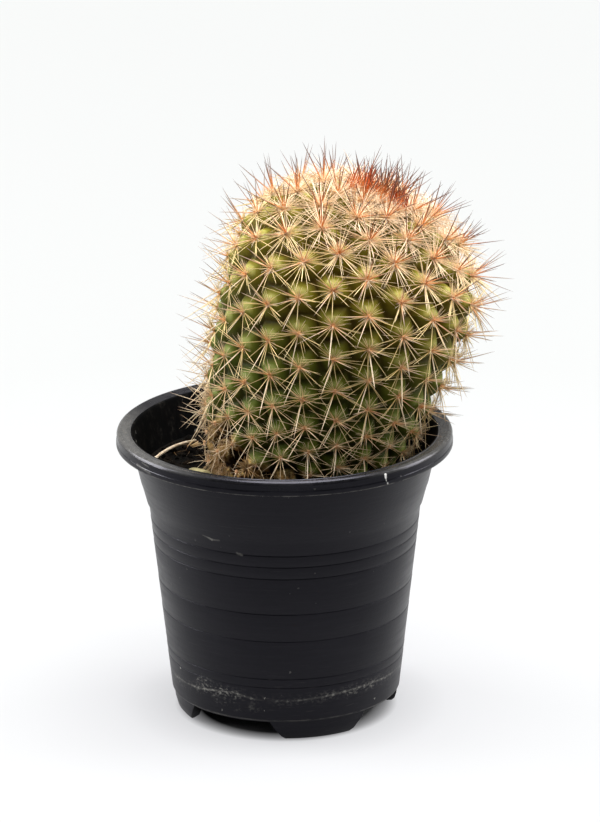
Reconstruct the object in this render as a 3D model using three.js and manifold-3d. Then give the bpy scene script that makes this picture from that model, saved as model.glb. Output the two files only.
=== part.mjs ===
// A round, tubercled cactus growing in a black moulded nursery pot.
// Units are millimetres, +Z is up and -Y is the front. The pieces are made round the pot's own
// middle, on the ground, and the last lines move the whole to stand over its box's middle.
// Angles round the pot and the plant start at the front and turn towards +X.

import * as THREE from 'three';
import * as BufferGeometryUtils from 'three/addons/utils/BufferGeometryUtils.js';
import Module from 'manifold-3d';

const wasm = await Module();
wasm.setup();

// ---------------------------------------------------------------- driving dimensions

const GAP = 0.3; // left between solids that touch

const POT = {
  baseRadius: 35.0, // outside of the wall, carried down to the ground
  wallSlope: 0.111, // how far the wall widens for each millimetre of height
  wallBottom: 7.1,
  wall: 1.3,
  collarLevel: 67.5, // where the wall steps out and flares
  collarStep: 0.7,
  collarHeight: 2.0, // height that the step takes
  collarSlope: 0.235,
  lipBottom: 86.7,
  floorBottom: 6.6,
  floor: 1.2,
  cornerTop: 12.0, // height where the rounded inside corner meets the wall
  cornerInset: 2.2,
  segments: 40,
};

// Outlines as radius and height. The rim is a rolled lip 105 mm across, hollow under its edge.
const FOOT_OUTLINE = [[29.1, 6.6], [29.5, 0], [32.1, 0], [33.3, 0.4], [34.2, 1.5], [34.9, 4.0], [35.2, 6.6]];
const RIM_OUTLINE = [
  [48.3, 88.6], [50.1, 89.9], [51.2, 87.7], [51.3, 86.7], // under the lip
  [52.5, 86.7], [52.5, 88.2], [51.8, 88.8], [51.7, 90.4], [51.0, 91.4], // outer edge
  [47.1, 90.0], // mouth
];

const GROOVE_LEVELS = [34.5, 43.8, 55.9, 59.9, 63.7]; // turned lines round the wall
const GROOVE = { depth: 0.35, height: 0.9 };

const FEET = {
  count: 4,
  firstAngle: 17.8, // degrees, middle of the front foot
  halfAngleTop: 26.5,
  halfAngleGround: 15.5,
  radius: 32.1,
  topEase: 1.2, // how much wider a gap is cut at its top, so that its ends slant
  gapInnerRadius: 27.0,
  gapOuterRadius: 39.0,
};

const DRAIN = { radius: 4.0, ringRadius: 20.0, sides: 12 };

const SOIL = {
  level: 78.0,
  bump: 0.6, // height of the waves in its surface
  broadWave: 0.3, // radians for each millimetre
  fineWave: 0.8,
  rings: 7,
};

// The plain hole in the soil that the plant's foot stands in.
const SOCKET = { clearance: 0.6, rootClearance: 1.2, tipRadius: 4.0, segments: 40, levels: [-8, 0, 8, 16, 24] };

// The plant's middle line is a curve: its level is the height above foot, along +Z.
const PLANT = {
  foot: new THREE.Vector3(3.7, -0.6, 82.8),
  leanRight: 0.294,
  leanBack: 0.106,
  bendRight: 0.0008, // change of lean for each millimetre of level
  bendBack: -0.0022,
  top: 82.6, // level of the crown
  widestLevel: 56.8,
  widestRadius: 39.05, // over the tips of the tubercles
  footNarrowing: 0.235,
  footPower: 1.74,
  buriedLevel: -16.0, // where the sides turn in to the root
  rootLevel: -20.0,
};

// Tubercles follow one spiral down from the crown, a fixed turn apart.
const SPIRAL = {
  start: 59.6, // degrees
  turn: 137.42,
  columns: 21, // near-upright files that the spiral lines up in
  turnsPerFile: 8, // whole turns of the spiral between neighbours in a file
  young: 18, // small tubercles on the crown, counted before number 1
  youngPower: 1.7,
  peakArea: 131.0, // skin for each tubercle, mm2, largest at peakNumber
  peakNumber: 52,
  areaFall: 0.005,
  leastArea: 75.0,
};

const TUBERCLE = {
  reach: 0.6, // radius of its foot, as a share of the spacing
  height: 0.45, // as a share of the spacing
  roundness: 0.2, // blunt tip, as a share of its radius
};

const SKIN = {
  columns: 84, // four to each file of tubercles
  row: 3.9,
  fewerBelow: 25.0, // ring radius on the crown below which half as many faces do
  fewestBelow: 12.0,
  crownDip: 0.5,
  crownEdge: 0.35, // level of the last ring below the crown
};

// Spines: turn is measured round the areole from the crownward side, tilt from the outward normal.
const SPINES = [
  { name: 'down', turn: 180, tilt: 50, length: 12.5, every: 1 },
  { name: 'right', turn: 55, tilt: 34, length: 11.0, every: 1 },
  { name: 'left', turn: -55, tilt: 34, length: 11.0, every: 1 },
  { name: 'up', turn: 0, tilt: 24, length: 10.0, every: 4 },
];
const SPINE = {
  radius: 0.42,
  root: 3.2, // how deep it starts below the tubercle's tip
  turnSpread: 14,
  tiltSpread: 8,
  lengthSpread: 0.12,
  crownNumber: 30, // before this number the spines stand more upright
  crownTilt: 0.55, // share of the tilt that is left there
  clearOfSoil: 0.9,
  clearRadius: 44.6, // inside the pot's mouth
  mouthTop: 92.4,
};

const PEBBLE = {
  x: -27.0,
  y: -14.0,
  size: new THREE.Vector3(4.4, 3.2, 2.3), // half its length, width and height
  roughness: 0.12,
  flatUnder: 0.55, // share of its half height where it is worn flat
};

// Points of the strand as x, y and lift over the soil.
const STRAND = {
  radius: 0.5,
  sides: 8,
  steps: 14,
  points: [[-42.0, 2.0, 0], [-39.5, 8.5, 1.4], [-35.8, 14.5, 2.0], [-31.6, 19.4, 1.0], [-29.0, 21.8, 0]],
};

const SEAT = 0.35; // clearance under what lies on the soil

// ---------------------------------------------------------------- small helpers

const radians = THREE.MathUtils.degToRad;

function direction(angle) {
  // Level direction at an angle from the front.
  return new THREE.Vector3(Math.sin(angle), -Math.cos(angle), 0);
}

function scatter(number, draw) {
  // A fixed draw between 0 and 1 for one tubercle.
  const value = Math.sin(number * 12.9898 + draw * 78.233) * 43758.5453;
  return value - Math.floor(value);
}

function spread(number, draw) {
  return 2 * scatter(number, draw) - 1;
}

function closed(geometry) {
  // Keeps only positions, with shared vertices merged, and turns the faces out.
  const bare = geometry.clone();
  bare.deleteAttribute('normal');
  bare.deleteAttribute('uv');
  const merged = BufferGeometryUtils.mergeVertices(bare, 1e-4);
  return signedVolume(merged) < 0 ? flipped(merged) : merged;
}

function signedVolume(geometry) {
  const { position } = geometry.attributes;
  const { array } = geometry.index;
  const [a, b, c] = [new THREE.Vector3(), new THREE.Vector3(), new THREE.Vector3()];
  let volume = 0;
  for (let i = 0; i < array.length; i += 3) {
    a.fromBufferAttribute(position, array[i]);
    b.fromBufferAttribute(position, array[i + 1]);
    c.fromBufferAttribute(position, array[i + 2]);
    volume += a.dot(b.cross(c)) / 6;
  }
  return volume;
}

function flipped(geometry) {
  const { array } = geometry.index;
  for (let i = 0; i < array.length; i += 3) [array[i + 1], array[i + 2]] = [array[i + 2], array[i + 1]];
  return geometry;
}

function toSolid(geometry) {
  const merged = closed(geometry);
  return new wasm.Manifold(new wasm.Mesh({
    numProp: 3,
    vertProperties: new Float32Array(merged.attributes.position.array),
    triVerts: new Uint32Array(merged.index.array),
  }));
}

function toGeometry(solid) {
  const { vertProperties, triVerts } = solid.getMesh();
  const geometry = new THREE.BufferGeometry();
  geometry.setAttribute('position', new THREE.BufferAttribute(vertProperties, 3));
  geometry.setIndex(new THREE.BufferAttribute(triVerts, 1));
  return geometry;
}

function joined(solids) {
  // Joins solids in pairs, so that no step is much larger than it has to be.
  let parts = solids;
  while (parts.length > 1) {
    const next = [];
    for (let i = 0; i < parts.length; i += 2) {
      next.push(i + 1 < parts.length ? parts[i].add(parts[i + 1]) : parts[i]);
    }
    parts = next;
  }
  return parts[0];
}

function turned(profile, segments) {
  // Turns [radius, height] points round +Z. The profile closes on itself or ends on the axis.
  const points = profile.map(([radius, height]) => new THREE.Vector2(radius, height));
  return new THREE.LatheGeometry(points, segments).rotateX(Math.PI / 2);
}

function named(name, geometry, look) {
  const mesh = new THREE.Mesh(geometry, new THREE.MeshStandardMaterial(look));
  mesh.name = name;
  return mesh;
}

// ---------------------------------------------------------------- pot

function wallRadius(height) {
  // Outside radius of the wall: straight, then stepped out and flared above the collar.
  const straight = POT.baseRadius + POT.wallSlope * Math.min(height, POT.collarLevel);
  if (height <= POT.collarLevel) return straight;
  return straight + POT.collarStep + POT.collarSlope * (height - POT.collarLevel);
}

function insideOutline(clearance, top) {
  // The inside of the pot from the middle of its floor up to a height, drawn in by a clearance.
  const floorTop = POT.floorBottom + POT.floor + clearance;
  const inside = (height) => wallRadius(height) - POT.wall - clearance;
  return [
    [0, floorTop],
    [inside(POT.cornerTop) - POT.cornerInset - clearance, floorTop],
    [inside(POT.cornerTop), POT.cornerTop + clearance],
    [inside(POT.collarLevel), POT.collarLevel - POT.collarHeight / 2],
    [inside(POT.collarLevel) + POT.collarStep, POT.collarLevel + POT.collarHeight / 2],
    [inside(top), top],
  ];
}

function potProfile() {
  const grooves = GROOVE_LEVELS.flatMap((level) => [
    [wallRadius(level), level - GROOVE.height / 2],
    [wallRadius(level) - GROOVE.depth, level],
    [wallRadius(level), level + GROOVE.height / 2],
  ]);
  return [
    [0, POT.floorBottom],
    ...FOOT_OUTLINE,
    [wallRadius(POT.wallBottom), POT.wallBottom],
    ...grooves,
    [wallRadius(POT.collarLevel), POT.collarLevel],
    [wallRadius(POT.collarLevel) + POT.collarStep, POT.collarLevel + POT.collarHeight / 2],
    [wallRadius(POT.lipBottom), POT.lipBottom],
    ...RIM_OUTLINE,
    ...insideOutline(0, POT.lipBottom).reverse(),
  ];
}

function footGap(index) {
  // A tapered block that parts two feet: wide at the ground and narrower under the wall.
  const pitch = 360 / FEET.count;
  const middle = radians(FEET.firstAngle + pitch * (index + 0.5));
  const halfTop = FEET.radius * Math.sin(radians(pitch / 2 - FEET.halfAngleTop)) + FEET.topEase;
  const halfGround = FEET.radius * Math.sin(radians(pitch / 2 - FEET.halfAngleGround));
  const slope = (halfGround - halfTop) / POT.floorBottom;
  const shape = new THREE.Shape([
    new THREE.Vector2(-halfGround - slope, -1),
    new THREE.Vector2(halfGround + slope, -1),
    new THREE.Vector2(halfTop, POT.floorBottom),
    new THREE.Vector2(-halfTop, POT.floorBottom),
  ]);
  const depth = FEET.gapOuterRadius - FEET.gapInnerRadius;
  const block = new THREE.ExtrudeGeometry(shape, { depth, bevelEnabled: false });
  // Stood up, the extrusion runs towards -Y from the inner radius outwards.
  return block.rotateX(Math.PI / 2).translate(0, -FEET.gapInnerRadius, 0).rotateZ(middle);
}

function drainHole(index) {
  const middle = radians(FEET.firstAngle + (360 / FEET.count) * (index + 0.5));
  const place = direction(middle).multiplyScalar(DRAIN.ringRadius);
  const height = POT.floor + 2;
  return new THREE.CylinderGeometry(DRAIN.radius, DRAIN.radius, height, DRAIN.sides)
    .rotateX(Math.PI / 2)
    .translate(place.x, place.y, POT.floorBottom + POT.floor / 2);
}

function makePot() {
  let solid = toSolid(turned(potProfile(), POT.segments));
  for (let i = 0; i < FEET.count; i += 1) {
    solid = solid.subtract(toSolid(footGap(i))).subtract(toSolid(drainHole(i)));
  }
  return named('pot', toGeometry(solid), { color: 0x1b1c1f, roughness: 0.5, metalness: 0 });
}

// ---------------------------------------------------------------- plant: middle line and outline

function axisPoint(level) {
  const bend = level > 0 ? (level * level) / 2 : 0;
  return new THREE.Vector3(
    PLANT.foot.x + PLANT.leanRight * level + PLANT.bendRight * bend,
    PLANT.foot.y + PLANT.leanBack * level + PLANT.bendBack * bend,
    PLANT.foot.z + level,
  );
}

function axisFrame(level) {
  // The line's own direction, and two directions square to it: to the right and to the back.
  const above = Math.max(level, 0);
  const along = new THREE.Vector3(
    PLANT.leanRight + PLANT.bendRight * above,
    PLANT.leanBack + PLANT.bendBack * above,
    1,
  ).normalize();
  const right = new THREE.Vector3(1, 0, 0).addScaledVector(along, -along.x).normalize();
  const back = new THREE.Vector3().crossVectors(along, right);
  return { along, right, back };
}

function outlineRadius(level) {
  // Radius over the tubercles' tips: a dome above the widest level, drawn in towards the foot.
  const { top, widestLevel, widestRadius, footNarrowing, footPower } = PLANT;
  if (level >= widestLevel) {
    const rise = Math.min((level - widestLevel) / (top - widestLevel), 1);
    return widestRadius * Math.sqrt(1 - rise * rise);
  }
  const drop = (widestLevel - level) / widestLevel;
  return widestRadius * (1 - footNarrowing * drop ** footPower);
}

function envelopePoint(level, angle, inset = 0) {
  const { right, back } = axisFrame(level);
  const radius = Math.max(outlineRadius(level) - inset, 0);
  return axisPoint(level)
    .addScaledVector(right, radius * Math.sin(angle))
    .addScaledVector(back, -radius * Math.cos(angle));
}

function surfaceFrame(level, angle) {
  // Outward normal, the way to the crown, and sideways, at a place on the outline.
  const step = 0.2;
  const lower = envelopePoint(level - step, angle);
  const upper = envelopePoint(Math.min(level + step, PLANT.top), angle);
  const crownward = upper.sub(lower).normalize();
  const { right, back } = axisFrame(level);
  const sideways = right.multiplyScalar(Math.cos(angle)).addScaledVector(back, Math.sin(angle));
  const normal = new THREE.Vector3().crossVectors(sideways, crownward).normalize();
  return { normal, crownward, sideways };
}

// ---------------------------------------------------------------- plant: spiral of tubercles

function skinLevels() {
  // Levels from the crown down, each with the area of skin above it.
  const steps = 600;
  const span = PLANT.top - PLANT.buriedLevel;
  const rows = [{ level: PLANT.top, area: 0 }];
  for (let i = 1; i <= steps; i += 1) {
    const level = PLANT.top - span * (i / steps) ** 2;
    const slant = Math.hypot(
      outlineRadius(level) - outlineRadius(rows[i - 1].level),
      axisPoint(level).distanceTo(axisPoint(rows[i - 1].level)),
    );
    const radius = (outlineRadius(level) + outlineRadius(rows[i - 1].level)) / 2;
    rows.push({ level, area: rows[i - 1].area + 2 * Math.PI * radius * slant });
  }
  return rows;
}

function levelAtArea(rows, area) {
  const i = rows.findIndex((row) => row.area >= area);
  if (i < 1) return i === 0 ? rows[0].level : undefined;
  const share = (area - rows[i - 1].area) / (rows[i].area - rows[i - 1].area);
  return THREE.MathUtils.lerp(rows[i - 1].level, rows[i].level, share);
}

function tubercleArea(number) {
  const { young, youngPower, peakArea, peakNumber, areaFall, leastArea } = SPIRAL;
  const full = Math.max(leastArea, peakArea - areaFall * (number - peakNumber) ** 2);
  if (number > 0) return full;
  return full * ((number + young) / (young + 1)) ** youngPower;
}

function makeTubercles() {
  const rows = skinLevels();
  const tubercles = [];
  let area = 0;
  for (let number = 1 - SPIRAL.young; ; number += 1) {
    area += tubercleArea(number);
    const level = levelAtArea(rows, area);
    if (level === undefined) return tubercles;
    const angle = radians(SPIRAL.start + SPIRAL.turn * number);
    tubercles.push({
      number,
      level,
      angle,
      spacing: tubercleSpacing(number),
      tip: envelopePoint(level, angle),
      ...surfaceFrame(level, angle),
    });
  }
}

const TUBERCLES = makeTubercles();

function numberAtLevel(level) {
  // The spiral's running number at a level, with parts of a number between two tubercles.
  const i = TUBERCLES.findIndex((tubercle) => tubercle.level <= level);
  if (i === 0) return TUBERCLES[0].number;
  if (i < 0) return TUBERCLES[TUBERCLES.length - 1].number;
  const [before, after] = [TUBERCLES[i - 1], TUBERCLES[i]];
  return before.number + (before.level - level) / (before.level - after.level);
}

function tubercleSpacing(number) {
  // Distance between neighbours when each holds its share of skin in a six-sided packing.
  return Math.sqrt(tubercleArea(number) * 1.1547);
}

function valleyDepth(point, level) {
  // How far the skin lies below the outline: nothing on a tubercle's tip, its height between them.
  const blunt = TUBERCLE.roundness;
  const valley = TUBERCLE.height * tubercleSpacing(numberAtLevel(level));
  let highest = 0;
  for (const { tip, spacing } of TUBERCLES) {
    const away = Math.hypot(point.distanceTo(tip) / (TUBERCLE.reach * spacing), blunt);
    const rise = (Math.hypot(1, blunt) - away) / (Math.hypot(1, blunt) - blunt);
    highest = Math.max(highest, rise * TUBERCLE.height * spacing);
  }
  return Math.max(valley - highest, 0);
}

// ---------------------------------------------------------------- plant: skin

function skinColumns(level) {
  // Faces round the skin: fewer on the crown's smaller rings.
  const radius = outlineRadius(level);
  if (level < PLANT.widestLevel || radius > SKIN.fewerBelow) return SKIN.columns;
  return radius > SKIN.fewestBelow ? SKIN.columns / 2 : SKIN.columns / 4;
}

function skinRows() {
  // Levels one row apart along the outline, from the root's edge up to just under the crown.
  const rows = [];
  const step = 0.05;
  let level = PLANT.buriedLevel;
  while (level < PLANT.top - SKIN.crownEdge) {
    rows.push(level);
    const slope = (outlineRadius(level + step) - outlineRadius(level)) / step;
    level += SKIN.row / Math.hypot(1, slope);
  }
  return rows;
}

function stitch(triangles, lower, upper) {
  // Joins two rings of vertices, of equal count or with half as many in the upper one.
  const count = lower.length;
  const ratio = count / upper.length;
  for (let j = 0; j < upper.length; j += 1) {
    const next = (j + 1) % upper.length;
    if (ratio === 1) {
      triangles.push(lower[j], lower[next], upper[next], lower[j], upper[next], upper[j]);
    } else {
      const [a, b, c] = [2 * j, 2 * j + 1, (2 * j + 2) % count];
      triangles.push(lower[a], lower[b], upper[j], lower[b], upper[next], upper[j]);
      triangles.push(lower[b], lower[c], upper[next]);
    }
  }
}

function fan(triangles, ring, centre, isTop) {
  // Closes a ring of vertices with triangles to one vertex over or under its middle.
  ring.forEach((vertex, j) => {
    const next = ring[(j + 1) % ring.length];
    triangles.push(...(isTop ? [vertex, next, centre] : [next, vertex, centre]));
  });
}

function indexed(positions, triangles) {
  const geometry = new THREE.BufferGeometry();
  geometry.setAttribute('position', new THREE.Float32BufferAttribute(positions, 3));
  geometry.setIndex(triangles);
  return geometry;
}

function makeSkin() {
  const positions = [];
  const triangles = [];
  const addPoint = (point) => positions.push(point.x, point.y, point.z) / 3 - 1;
  // How far each upright file of tubercles strays for each number.
  const drift = SPIRAL.turn - (360 * SPIRAL.turnsPerFile) / SPIRAL.columns;
  const ring = (level) => {
    const columns = skinColumns(level);
    const vertices = [];
    for (let j = 0; j < columns; j += 1) {
      const angle = radians(SPIRAL.start + drift * numberAtLevel(level) + (360 * j) / columns);
      const outer = envelopePoint(level, angle);
      const inward = surfaceFrame(level, angle).normal.multiplyScalar(-valleyDepth(outer, level));
      vertices.push(addPoint(outer.add(inward)));
    }
    return vertices;
  };
  const rings = skinRows().map(ring);
  for (let i = 1; i < rings.length; i += 1) stitch(triangles, rings[i - 1], rings[i]);
  const crown = axisPoint(PLANT.top).addScaledVector(axisFrame(PLANT.top).along, -SKIN.crownDip);
  fan(triangles, rings[0], addPoint(axisPoint(PLANT.rootLevel)), false);
  fan(triangles, rings[rings.length - 1], addPoint(crown), true);
  return indexed(positions, triangles);
}

// ---------------------------------------------------------------- plant: spines

function spineTip(tubercle, kind, draw) {
  const { number, tip, normal, crownward, sideways } = tubercle;
  const upright = number < SPINE.crownNumber ? SPINE.crownTilt : 1;
  const turn = radians(kind.turn + SPINE.turnSpread * spread(number, draw));
  const tilt = radians(kind.tilt * upright + SPINE.tiltSpread * spread(number, draw + 1));
  const length = kind.length * (1 + SPINE.lengthSpread * spread(number, draw + 2));
  return tip.clone()
    .addScaledVector(normal, Math.cos(tilt) * length)
    .addScaledVector(crownward, Math.sin(tilt) * Math.cos(turn) * length)
    .addScaledVector(sideways, Math.sin(tilt) * Math.sin(turn) * length);
}

function isClear(from, to) {
  // A spine stays above the soil and off the pot's wall and rim, along its outer half.
  return [0.4, 0.7, 1].every((share) => {
    const point = from.clone().lerp(to, share);
    const distance = Math.hypot(point.x, point.y);
    if (point.z < SPINE.mouthTop && distance > SPINE.clearRadius) return false;
    return point.z > soilHeight(point.x, point.y) + SPINE.clearOfSoil;
  });
}

function needle(from, to) {
  const length = from.distanceTo(to);
  const towards = to.clone().sub(from).normalize();
  const turn = new THREE.Quaternion().setFromUnitVectors(new THREE.Vector3(0, 1, 0), towards);
  const middle = from.clone().lerp(to, 0.5);
  return new THREE.ConeGeometry(SPINE.radius, length, 3)
    .applyQuaternion(turn)
    .translate(middle.x, middle.y, middle.z);
}

function makeNeedles() {
  const needles = [];
  for (const tubercle of TUBERCLES) {
    SPINES.forEach((kind, place) => {
      if (Math.abs(tubercle.number) % kind.every !== 0) return;
      const to = spineTip(tubercle, kind, 3 * place);
      if (!isClear(tubercle.tip, to)) return;
      const root = tubercle.tip.clone().addScaledVector(tubercle.normal, -SPINE.root);
      needles.push(needle(root, to));
    });
  }
  return needles;
}

function makeCactus() {
  const solids = [toSolid(makeSkin()), ...makeNeedles().map(toSolid)];
  return named('cactus', toGeometry(joined(solids)), { color: 0x7f8a3c, roughness: 0.55, metalness: 0 });
}

// ---------------------------------------------------------------- soil and what lies on it

function soilHeight(x, y) {
  const { level, bump, broadWave, fineWave } = SOIL;
  const broad = Math.sin(x * broadWave) * Math.cos(y * broadWave);
  return level + bump * (broad + 0.5 * Math.sin((x + y) * fineWave));
}

function makeSoilBlock() {
  // The filling of the pot: a turned block whose upper face is then made uneven.
  const wall = insideOutline(GAP, SOIL.level);
  const edge = wall[wall.length - 1][0];
  const surface = [];
  for (let i = 1; i <= SOIL.rings; i += 1) surface.push([edge * (1 - i / SOIL.rings), SOIL.level]);
  const block = closed(turned([...wall, ...surface], POT.segments));
  const { position } = block.attributes;
  for (let i = 0; i < position.count; i += 1) {
    const [x, y, z] = [position.getX(i), position.getY(i), position.getZ(i)];
    const inside = Math.hypot(x, y) < edge - 1;
    if (inside && z > SOIL.level - 1) position.setZ(i, soilHeight(x, y));
  }
  return block;
}

function makeSocket() {
  // The outline of the plant's foot, a little larger, from under the root to above the soil.
  const { clearance, rootClearance, tipRadius, segments } = SOCKET;
  const root = PLANT.rootLevel - rootClearance;
  const levels = [root, PLANT.buriedLevel - rootClearance, ...SOCKET.levels];
  const positions = [];
  const triangles = [];
  const addPoint = (point) => positions.push(point.x, point.y, point.z) / 3 - 1;
  const rings = levels.map((level) => {
    const inset = level === root ? outlineRadius(level) - tipRadius : -clearance;
    return Array.from({ length: segments }, (_, j) => (
      addPoint(envelopePoint(level, (2 * Math.PI * j) / segments, inset))
    ));
  });
  for (let i = 1; i < rings.length; i += 1) stitch(triangles, rings[i - 1], rings[i]);
  fan(triangles, rings[0], addPoint(axisPoint(root)), false);
  fan(triangles, rings[rings.length - 1], addPoint(axisPoint(levels[levels.length - 1])), true);
  return indexed(positions, triangles);
}

function makeSoil() {
  const solid = toSolid(makeSoilBlock()).subtract(toSolid(makeSocket()));
  return named('soil', toGeometry(solid), { color: 0x17110c, roughness: 0.95, metalness: 0 });
}

function makePebble() {
  // A worn chip: a ball of few faces, squashed, roughened, and lying just on the soil.
  const stone = closed(new THREE.IcosahedronGeometry(1, 1));
  const { position } = stone.attributes;
  let seat = -Infinity;
  for (let i = 0; i < position.count; i += 1) {
    const point = new THREE.Vector3().fromBufferAttribute(position, i);
    point.multiplyScalar(1 + PEBBLE.roughness * spread(i, 5)).multiply(PEBBLE.size);
    point.z = Math.max(point.z, -PEBBLE.flatUnder * PEBBLE.size.z);
    point.x += PEBBLE.x;
    point.y += PEBBLE.y;
    position.setXYZ(i, point.x, point.y, point.z);
    seat = Math.max(seat, soilHeight(point.x, point.y) + SEAT - point.z);
  }
  stone.translate(0, 0, seat);
  return named('pebble', stone, { color: 0x9a8a55, roughness: 0.8, metalness: 0 });
}

function makeStrand() {
  // A dry root that arches over the soil between two places where it touches down.
  const points = STRAND.points.map(([x, y, lift]) => (
    new THREE.Vector3(x, y, soilHeight(x, y) + STRAND.radius + SEAT + lift)
  ));
  const section = new THREE.Shape();
  section.absarc(0, 0, STRAND.radius, 0, 2 * Math.PI);
  const tube = new THREE.ExtrudeGeometry(section, {
    steps: STRAND.steps,
    curveSegments: STRAND.sides / 2,
    bevelEnabled: false,
    extrudePath: new THREE.CatmullRomCurve3(points),
  });
  return named('strand', closed(tube), { color: 0xc9b89a, roughness: 0.8, metalness: 0 });
}

// ---------------------------------------------------------------- the whole

const group = new THREE.Group();
group.add(makePot(), makeSoil(), makeCactus(), makePebble(), makeStrand());

// The plant leans past the rim, so the whole is moved to stand with its box's middle on the origin.
const box = new THREE.Box3().setFromObject(group);
const middle = box.getCenter(new THREE.Vector3());
group.position.set(-middle.x, -middle.y, 0);

export default group;
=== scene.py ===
"""A round, tubercled cactus in a black moulded nursery pot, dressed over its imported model.

Sizes are in millimetres and places are measured from the pot's own middle on the ground. They are
turned into metres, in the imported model's frame, as each mesh is made. Angles round the pot and the
plant start at the front, towards the camera, and turn towards the side that the plant leans to.
"""

import logging
import math
from dataclasses import dataclass
from enum import Enum
from itertools import pairwise
from typing import Any, Callable, Sequence

import bpy
import numpy as np
from mathutils import Matrix, Vector
from numpy.typing import NDArray


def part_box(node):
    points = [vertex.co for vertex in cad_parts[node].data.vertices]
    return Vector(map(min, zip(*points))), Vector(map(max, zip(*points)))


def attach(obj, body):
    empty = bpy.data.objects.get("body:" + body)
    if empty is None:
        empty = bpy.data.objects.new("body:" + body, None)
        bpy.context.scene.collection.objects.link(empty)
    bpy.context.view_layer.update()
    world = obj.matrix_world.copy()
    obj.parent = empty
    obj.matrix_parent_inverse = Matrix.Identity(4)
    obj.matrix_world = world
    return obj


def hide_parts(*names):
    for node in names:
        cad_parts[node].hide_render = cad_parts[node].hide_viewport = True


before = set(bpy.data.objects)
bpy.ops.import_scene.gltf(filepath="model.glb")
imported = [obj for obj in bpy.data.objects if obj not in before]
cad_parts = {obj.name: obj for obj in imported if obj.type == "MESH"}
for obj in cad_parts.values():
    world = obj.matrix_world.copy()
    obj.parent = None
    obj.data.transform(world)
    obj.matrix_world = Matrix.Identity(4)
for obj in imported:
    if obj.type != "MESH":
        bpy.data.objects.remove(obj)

LOG = logging.getLogger("potted_cactus")
Array = NDArray[np.float64]
Outline = Sequence[tuple[float, float]]
Colour = tuple[float, float, float, float]
Stops = Sequence[tuple[float, Colour]]

MM = 0.001
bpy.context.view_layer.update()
PHOTO_SIZE = (600, 822)
SEED = 7159


def pot_middle() -> Vector:
    """Finds the pot's own middle on the ground, in the frame, in metres."""
    low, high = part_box("pot")
    return Vector(((low.x + high.x) / 2, (low.y + high.y) / 2, 0.0))


MIDDLE = pot_middle()


def placed(x: float, y: float, z: float) -> Vector:
    """Turns a place in millimetres from the pot's middle into metres in the frame."""
    return MIDDLE + Vector((x, y, z)) * MM


def rgb(red: float, green: float, blue: float) -> Colour:
    """Makes a colour from its three linear parts."""
    return (red, green, blue, 1.0)


def smooth_step(low: float, high: float, value: Array) -> Array:
    """Rises smoothly from 0 at low to 1 at high."""
    share = np.clip((value - low) / (high - low), 0.0, 1.0)
    return share * share * (3.0 - 2.0 * share)


# ------------------------------------------------------------------------------ bench tools


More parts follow.
